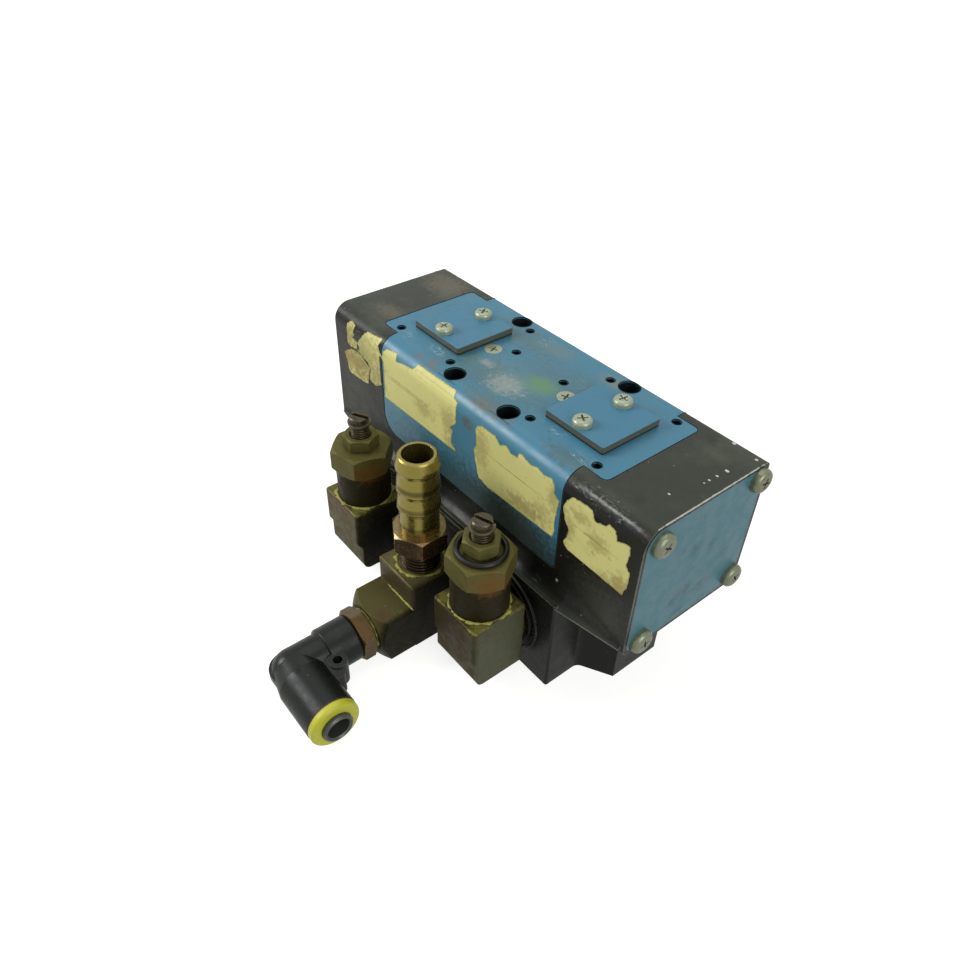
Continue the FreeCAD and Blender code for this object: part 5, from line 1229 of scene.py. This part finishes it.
PAPER = Finish(
    "label_yellow", srgb(210, 206, 134), srgb(192, 186, 114), drift_cover=0.45, drift_scale=90.0,
    roughness=0.6, specular=0.3, edge=srgb(112, 100, 58), edge_width=0.9, edge_amount=0.6,
    edge_raggedness=1.4, grime=srgb(150, 136, 84), grime_cover=0.22, grime_scale=110.0,
    speck=srgb(110, 94, 54), speck_amount=0.05, speck_scale=900.0, grain_height=0.00001, rounding=0.0,
    spot_scale=520.0,
    spots=(
        Spot((-76, FRONT_FACE_Y, 92), (24, 8, 22), srgb(150, 146, 96), 0.75, 1.0),
        label_stain(-84, 84.5, (13, 8), 0.95, 1.8), label_stain(-88, 99, (4, 7), 0.6, 1.6),
        label_stain(-9, 93, (5, 6), 0.6, 1.6), label_stain(-8, 82, (4, 6), 0.6, 1.4),
        label_stain(-27, 89, (6, 3), 0.55, 2.0), label_stain(-64, 87, (5, 4), 0.5, 1.8),
        label_stain(12, 92, (5, 9), 0.6, 1.7), label_stain(40, 80, (9, 4), 0.75, 1.7),
        label_stain(50, 84, (5, 5), 0.5, 2.0), label_stain(56, 95, (3, 6), 0.65, 1.4),
        label_stain(64, 87, (4, 6), 0.65, 1.7), label_stain(93, 78, (5, 6), 0.8, 1.6),
        label_stain(80, 90, (5, 4), 0.6, 2.2),
        label_stain(86, 74, (7, 4), 0.7, 1.8), label_stain(70, 96, (5, 3), 0.6, 1.8),
        label_overlap_shadow(-80, -5, 91.6), label_overlap_shadow(9, 58, 91.6), label_overlap_shadow(62, 95, 90.4),
        label_overlap_shadow(-80, -5, 92.8)))


@dataclass(frozen=True)
class Casting:
    """The black casting and the gaskets, sleeve and spool inside it."""

    def build(self) -> None:
        """Dresses the fixed and inner nodes."""
        dress("valve_body", BLACK_PAINT)
        dress("spool_sleeve", SLEEVE_METAL)
        dress("sleeve_seals", RUBBER)
        dress("sleeve_retaining_rings", SPRING_STEEL)
        dress("spool", SPOOL_STEEL)
        for side in Side:
            dress(side.node("piston"), SLEEVE_METAL)
            dress(side.node("piston_seal"), RUBBER)
        LOG.info("casting dressed")


@dataclass(frozen=True)
class Cover:
    """The blue cover with its screws, blanking plates and labels."""

    sweep: SweepTree
    labels: tuple[Label, ...] = (
        Label("label_left_sliver", (
            (-89.2, 103.8), (-86.7, 105.8), (-82.9, 105.1), (-83.8, 101.5), (-82.7, 100.5), (-84.7, 98.5),
            (-80.9, 97.6), (-78.7, 94.3), (-86.1, 92.4), (-89.5, 93.4))),
        Label("label_left_scrap", (
            (-93.2, 86.8), (-86.1, 91.5), (-80.7, 92.2), (-76.4, 91.6), (-72.2, 90.6), (-70.4, 88.8),
            (-72.0, 82.4), (-72.7, 78.4), (-81.8, 77.1), (-90.0, 76.9), (-91.1, 82.1))),
        Label("label_left", (
            (-80.9, 97.0), (-76.8, 102.1), (-73.3, 106.1), (-62.0, 106.9), (-62.8, 103.5), (-61.0, 101.2),
            (-59.0, 100.1), (-58.7, 103.4), (-55.7, 105.3), (-49.0, 106.0), (-48.0, 102.9), (-44.8, 104.0),
            (-36.4, 104.6), (-34.8, 107.2), (-8.5, 107.6), (-7.1, 105.5), (-4.4, 105.0), (-4.3, 94.5),
            (-8.5, 90.5), (-6.4, 89.7), (-7.7, 83.5), (-4.2, 79.8), (-60.2, 78.6), (-60.5, 84.3),
            (-66.4, 80.6), (-71.4, 81.9), (-69.9, 88.3), (-80.6, 93.2))),
        Label("label_middle", (
            (8.6, 100.0), (11.0, 102.9), (16.4, 103.1), (20.7, 103.2), (24.0, 100.8), (27.5, 102.7),
            (30.6, 100.9), (34.2, 101.0), (35.1, 103.7), (37.5, 103.3), (42.7, 102.3), (46.0, 103.4),
            (48.9, 102.4), (53.2, 103.3), (55.5, 102.0), (55.8, 97.8), (58.8, 95.5), (58.1, 90.0),
            (57.3, 83.2), (58.2, 80.2), (56.8, 76.2), (17.3, 74.7), (11.4, 76.2), (8.8, 83.6),
            (7.9, 89.4), (9.5, 91.9))),
        Label("label_right", (
            (61.7, 92.0), (60.9, 94.0), (62.4, 98.9), (64.2, 100.7), (64.8, 102.1), (69.1, 102.7),
            (74.7, 102.9), (77.3, 99.0), (79.1, 99.9), (82.0, 100.6), (83.6, 102.5), (86.6, 101.7),
            (88.0, 97.9), (90.1, 98.5), (93.1, 99.9), (94.2, 98.9), (94.2, 94.5), (93.7, 89.6),
            (95.8, 88.4), (96.0, 82.4), (95.5, 79.9), (94.3, 75.7), (65.4, 76.2), (62.9, 78.5),
            (64.6, 82.0), (64.9, 86.3), (62.6, 89.2))))

    @staticmethod
    def skin() -> BVHTree:
        """Surface of the cover and the casting together."""
        points: list[Vector] = []
        faces: list[list[int]] = []
        for node in ("top_cover", "valve_body"):
            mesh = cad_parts[node].data
            start = len(points)
            points += [vert.co.copy() for vert in mesh.vertices]
            faces += [[start + index for index in face.vertices] for face in mesh.polygons]
        return BVHTree.FromPolygons(points, faces)

    def build(self) -> None:
        """Dresses the blue pieces and lays the labels."""
        dress("top_cover", BLUE_PAINT)
        dress("cover_screws", ZINC)
        dress("blanking_screws", ZINC)
        for side in Side:
            dress(side.node("blanking_plate"), PLATE_PAINT)
            dress(side.node("blanking_gasket"), GASKET)
        # A dark thread of painted shade, with some dirt, along the cover's joint and hole rims.
        dirt_and_shade = JointShadeAndDirt().mesh("cover_joint_shade_and_dirt", self.sweep)
        add_piece("cover_joint_shade_and_dirt", dirt_and_shade, "valve", JOINT_SHADE_AND_DIRT)
        skin = self.skin()
        for label in self.labels:
            add_piece(label.name, label.mesh(skin), "valve", PAPER)


@dataclass(frozen=True)
class EndCover:
    """A blue end plate with its gasket and four screws."""

    side: Side

    def build(self) -> None:
        """Dresses the nodes at this end."""
        dress(self.side.node("end_plate"), PLATE_BLUE)
        dress(self.side.node("end_gasket"), GASKET)
        dress(self.side.node("end_plate_screws"), END_ZINC)


def add_sealant(name: str, sealant: Bead | SealantLine, sweep: SweepTree) -> None:
    """Adds a bead or line of sealant to the fixed body."""
    add_piece(name, sealant.mesh(name, sweep), "valve", SEALANT)


@dataclass(frozen=True)
class FlowControl:
    """A street elbow with the needle flow control screwed into its top."""

    side: Side
    thread: ThreadTree
    sweep: SweepTree
    pitch: float = 1.25
    root_radius: float = 3.75
    ridge_offset: float = 0.1
    ridge_depth: float = 0.36
    crest_radius: float = 4.2
    crest_margin: float = 0.1
    head_height: float = 2.7
    thread_in_nut: float = 4.0
    thread_below_top: float = 4.3
    neck_radius: float = 12.3
    neck_sink: float = 0.12
    neck_pitch: float = 1.2
    neck_depth: float = 0.2
    neck_start: float = 0.6
    neck_gap: float = 2.0
    bead_offset: float = 0.5
    bead_thickness: float = 0.75
    bead_seed: float = 0.37
    hexagon_height: float = 10.8

    def on_axis(self, height: float) -> Vector:
        """The point of the fitting's upright axis at a height, in millimetres."""
        return Vector((EXHAUST_X * self.side.value, FITTING_Y, height))

    def screw_mesh(self) -> bpy.types.Mesh:
        """Copies the adjusting screw and sinks its shank to the thread's root."""
        screw = self.side.node("adjusting_screw")
        shape = welded(screw)
        middle = centre_of(screw)
        head_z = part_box(screw)[1].z - mm(self.head_height)
        for vert in shape.verts:
            away = Vector((vert.co.x - mm(middle.x), vert.co.y - mm(middle.y)))
            if vert.co.z < head_z and away.length > mm(self.crest_radius - self.crest_margin):
                away *= mm(self.root_radius) / away.length
                vert.co.x = mm(middle.x) + away.x
                vert.co.y = mm(middle.y) + away.y
        return finished_mesh(self.side.node("screw_shank"), shape, smooth=False)

    def dress_nodes(self, brass: Finish) -> None:
        """Gives each CAD node of the fitting its finish."""
        side = self.side
        dress(side.node("street_elbow"), LEFT_ELBOW_BRASS if side is Side.LEFT else RIGHT_ELBOW_BRASS)
        dress(side.node("flow_control_body"), brass)
        dress(side.node("gland_nut"), brass)
        dress(side.node("snap_ring"), SPRING_STEEL)
        dress(side.node("stem_seal"), RUBBER)
        dress(side.node("metering_poppet"), SCREW_STEEL)

    def add_screw(self) -> None:
        """Adds the screw's sunk shank and the ridge of its thread."""
        side = self.side
        body = side.node("screw")
        name = side.node("screw_shank")
        shank = add_piece(name, self.screw_mesh(), body, SCREW_STEEL)
        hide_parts(side.node("adjusting_screw"))
        start = top_of(side.node("gland_nut")) - self.thread_in_nut
        end = top_of(side.node("adjusting_screw")) - self.thread_below_top
        name = side.node("screw_thread")
        ridge = self.thread.ridge(
            name, self.root_radius + self.ridge_offset, self.pitch, end - start, self.ridge_depth,
            self.on_axis(start), Axis.Z, SCREW_STEEL)
        add_piece(name, ridge, body, SCREW_STEEL)

    def add_neck(self, brass: Finish, hexagon_z: float) -> None:
        """Adds the ridge of the neck's thread and the sealant under it.

        Args:
            brass: the fitting's finish.
            hexagon_z: height of the hexagon's lower face, in mm.
        """
        side = self.side
        elbow_top = top_of(side.node("street_elbow"))
        name = side.node("neck_thread")
        neck = self.thread.ridge(
            name, self.neck_radius - self.neck_sink, self.neck_pitch, hexagon_z - elbow_top - self.neck_gap,
            self.neck_depth, self.on_axis(elbow_top + self.neck_start), Axis.Z, brass)
        add_piece(name, neck, "valve", brass)
        bead = Bead(
            self.on_axis(elbow_top + BEAD_RISE), Axis.Z, self.neck_radius + self.bead_offset,
            self.bead_thickness, EXHAUST_X * side.value * self.bead_seed)
        add_sealant(side.node("neck_sealant"), bead, self.sweep)

    def build(self) -> None:
        """Dresses the fittings and adds threads and sealant."""
        hexagon_z = top_of(self.side.node("flow_control_body")) - self.hexagon_height
        brass = control_brass(self.side, hexagon_z)
        self.dress_nodes(brass)
        self.add_screw()
        self.add_neck(brass, hexagon_z)


@dataclass(frozen=True)
class InletFittings:
    """The street tee with its hose barb and the push-in elbow's brass stem."""

    thread: ThreadTree
    sweep: SweepTree
    barb_thread_radius: float = 8.4
    barb_thread_pitch: float = 1.8
    barb_thread_length: float = 11.0
    barb_thread_depth: float = 0.5
    barb_thread_start: float = 0.3
    tee_front_y: float = -72.5
    arm_top_z: float = 24.05
    arm_inset: float = 0.1

    def build(self) -> None:
        """Dresses the brass pieces and adds threads and sealant."""
        dress("street_tee", TEE_BRASS)
        dress("hose_barb", BARB_BRASS)
        dress("push_in_stem", STEM_BRASS)
        dress("swivel_seal", RUBBER)
        dress("loose_o_ring", RUBBER)
        tee_top = top_of("street_tee")
        arm_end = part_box("street_tee")[0].y * MM_PER_METRE
        start = Vector((TEE_X, TEE_Y, tee_top + self.barb_thread_start))
        ridge = self.thread.ridge(
            "barb_thread", self.barb_thread_radius, self.barb_thread_pitch, self.barb_thread_length,
            self.barb_thread_depth, start, Axis.Z, BARB_BRASS)
        add_piece("barb_thread", ridge, "valve", BARB_BRASS)
        bead = Bead(
            Vector((TEE_X, TEE_Y, tee_top + BEAD_RISE)), Axis.Z, radius=10.6, thickness=0.85, seed=4.2)
        add_sealant("tee_sealant", bead, self.sweep)
        corner = Vector((TEE_X - 7, self.tee_front_y, self.arm_top_z))
        root = SealantLine(corner, length=20.0, thickness=0.55, seed=3.3)
        add_sealant("root_sealant", root, self.sweep)
        bead = Bead(
            Vector((TEE_X, arm_end - self.arm_inset, TEE_ARM_Z)), Axis.Y, radius=9.2, thickness=0.6, seed=7.7)
        add_sealant("arm_sealant", bead, self.sweep)


@dataclass(frozen=True)
class PushElbow:
    """The moulded push-in elbow with its rings and release sleeve."""

    def build(self) -> None:
        """Dresses the moulded pieces."""
        dress("push_in_elbow", GREY_PLASTIC)
        dress("tube_seal", RUBBER)
        dress("copper_ring", COPPER)
        dress("collar_ring", LIME)
        dress("release_sleeve", DARK_PLASTIC)


@dataclass(frozen=True)
class Lamp:
    """A square soft lamp that faces the object.

    Its place is in millimetres and its side, size, in metres. Its level is how brightly
    it lights white paper that faces it, where 1 renders as white.
    """

    name: str
    place: Point
    size: float
    level: float

    AIM = (0, 0, 50)

    def build(self) -> None:
        """Hangs the lamp and turns it towards the object."""
        data = bpy.data.lights.new(self.name, "AREA")
        lamp = bpy.data.objects.new(self.name, data)
        lamp.location = mm_point(self.place)
        aim = mm_point(self.AIM) - lamp.location
        data.size = self.size
        data.energy = self.level * math.pi ** 2 * aim.length_squared
        lamp.rotation_euler = aim.to_track_quat("-Z", "Y").to_euler()
        bpy.context.scene.collection.objects.link(lamp)


@dataclass(frozen=True)
class Studio:
    """Camera, floor, background and lamps."""

    camera_place: Point = (214.698, -202.845, 295.058)
    camera_turn: Point = (50.17189, -1.41471, 51.25804)
    lens: float = 30.633
    sensor: float = 36.0
    clip_start: float = 0.01
    sky_level: float = 0.22
    sky_tint: Colour = (1.0, 0.99, 0.84)
    floor_reach: float = 4000.0
    floor_cells: int = 8
    floor_colour: Colour = (0.5, 0.5, 0.47)
    floor_glow: float = 0.78
    floor_mirrored: float = 0.42
    glow_near: float = 0.35
    glow_far: float = 1.3
    lamps: tuple[Lamp, ...] = (
        Lamp("front_left", (-720.0, -700.0, 660.0), 0.5, 0.68),
        Lamp("right", (1020.0, -120.0, 600.0), 0.7, 0.52),
        Lamp("overhead", (-200.0, 200.0, 1150.0), 1.0, 0.32))

    def build(self) -> None:
        """Sets everything round the object."""
        self.camera()
        self.world()
        self.floor()
        for lamp in self.lamps:
            lamp.build()
        bpy.context.scene.view_settings.view_transform = "Standard"

    def camera(self) -> None:
        """Puts the camera where the photograph was taken from."""
        data = bpy.data.cameras.new("camera")
        data.lens = self.lens
        data.sensor_width = self.sensor
        data.clip_start = self.clip_start
        view = bpy.data.objects.new("camera", data)
        view.location = mm_point(self.camera_place)
        view.rotation_euler = Euler([math.radians(angle) for angle in self.camera_turn])
        bpy.context.scene.collection.objects.link(view)
        bpy.context.scene.camera = view

    def world(self) -> None:
        """White background for the camera, softer light for the rest."""
        world = bpy.data.worlds.new("studio")
        world.use_nodes = True
        world.node_tree.nodes.clear()
        nodes = Nodes(world.node_tree)
        path = nodes.add("ShaderNodeLightPath")
        seen = nodes.math("MAXIMUM", path.outputs["Is Camera Ray"], path.outputs["Is Transmission Ray"])
        seen = nodes.math("MAXIMUM", seen, path.outputs["Is Glossy Ray"])
        level = nodes.math("ADD", self.sky_level, nodes.math("MULTIPLY", seen, 1 - self.sky_level))
        back = nodes.add("ShaderNodeBackground")
        nodes.feed(back.inputs["Color"], nodes.mix(seen, self.sky_tint, (1.0, 1.0, 1.0)))
        nodes.feed(back.inputs["Strength"], level)
        output = nodes.add("ShaderNodeOutputWorld")
        nodes.feed(output.inputs["Surface"], back.outputs[0])
        bpy.context.scene.world = world

    def floor_paint(self) -> bpy.types.Material:
        """Pale paint that glows more, the farther it lies from the object."""
        material = bpy.data.materials.new("floor_pale")
        material.use_nodes = True
        material.node_tree.nodes.clear()
        nodes = Nodes(material.node_tree)
        path = nodes.add("ShaderNodeLightPath")
        plain = nodes.add("ShaderNodeBsdfDiffuse")
        nodes.feed(plain.inputs["Color"], self.floor_colour)
        glow = nodes.add("ShaderNodeEmission")
        away = nodes.vector("LENGTH", nodes.place()).outputs["Value"]
        level = nodes.span(away, self.glow_near, self.glow_far, self.floor_glow, 1.0)
        straight = nodes.math("MULTIPLY", path.outputs["Is Camera Ray"], level)
        mirrored = nodes.math("MULTIPLY", path.outputs["Is Glossy Ray"], self.floor_mirrored)
        nodes.feed(glow.inputs["Strength"], nodes.math("ADD", straight, mirrored))
        both = nodes.add("ShaderNodeAddShader")
        nodes.feed(both.inputs[0], plain.outputs[0])
        nodes.feed(both.inputs[1], glow.outputs[0])
        output = nodes.add("ShaderNodeOutputMaterial")
        nodes.feed(output.inputs["Surface"], both.outputs[0])
        return material

    def floor(self) -> None:
        """Pale floor that keeps the object's shadow and fades to white."""
        shape = bmesh.new()
        bmesh.ops.create_grid(
            shape, x_segments=self.floor_cells, y_segments=self.floor_cells, size=mm(self.floor_reach))
        mesh = finished_mesh("floor", shape)
        mesh.materials.append(self.floor_paint())
        floor = bpy.data.objects.new("floor", mesh)
        bpy.context.scene.collection.objects.link(floor)


def main() -> None:
    """Builds the sub-assemblies in order, then the studio."""
    logging.basicConfig(level=logging.INFO, format="%(name)s: %(message)s")
    noise.seed_set(NOISE_SEED)
    thread = ThreadTree()
    sweep = SweepTree()
    Casting().build()
    Cover(sweep).build()
    for side in Side:
        EndCover(side).build()
        FlowControl(side, thread, sweep).build()
    InletFittings(thread, sweep).build()
    PushElbow().build()
    Studio().build()


if __name__ == "__main__":
    main()
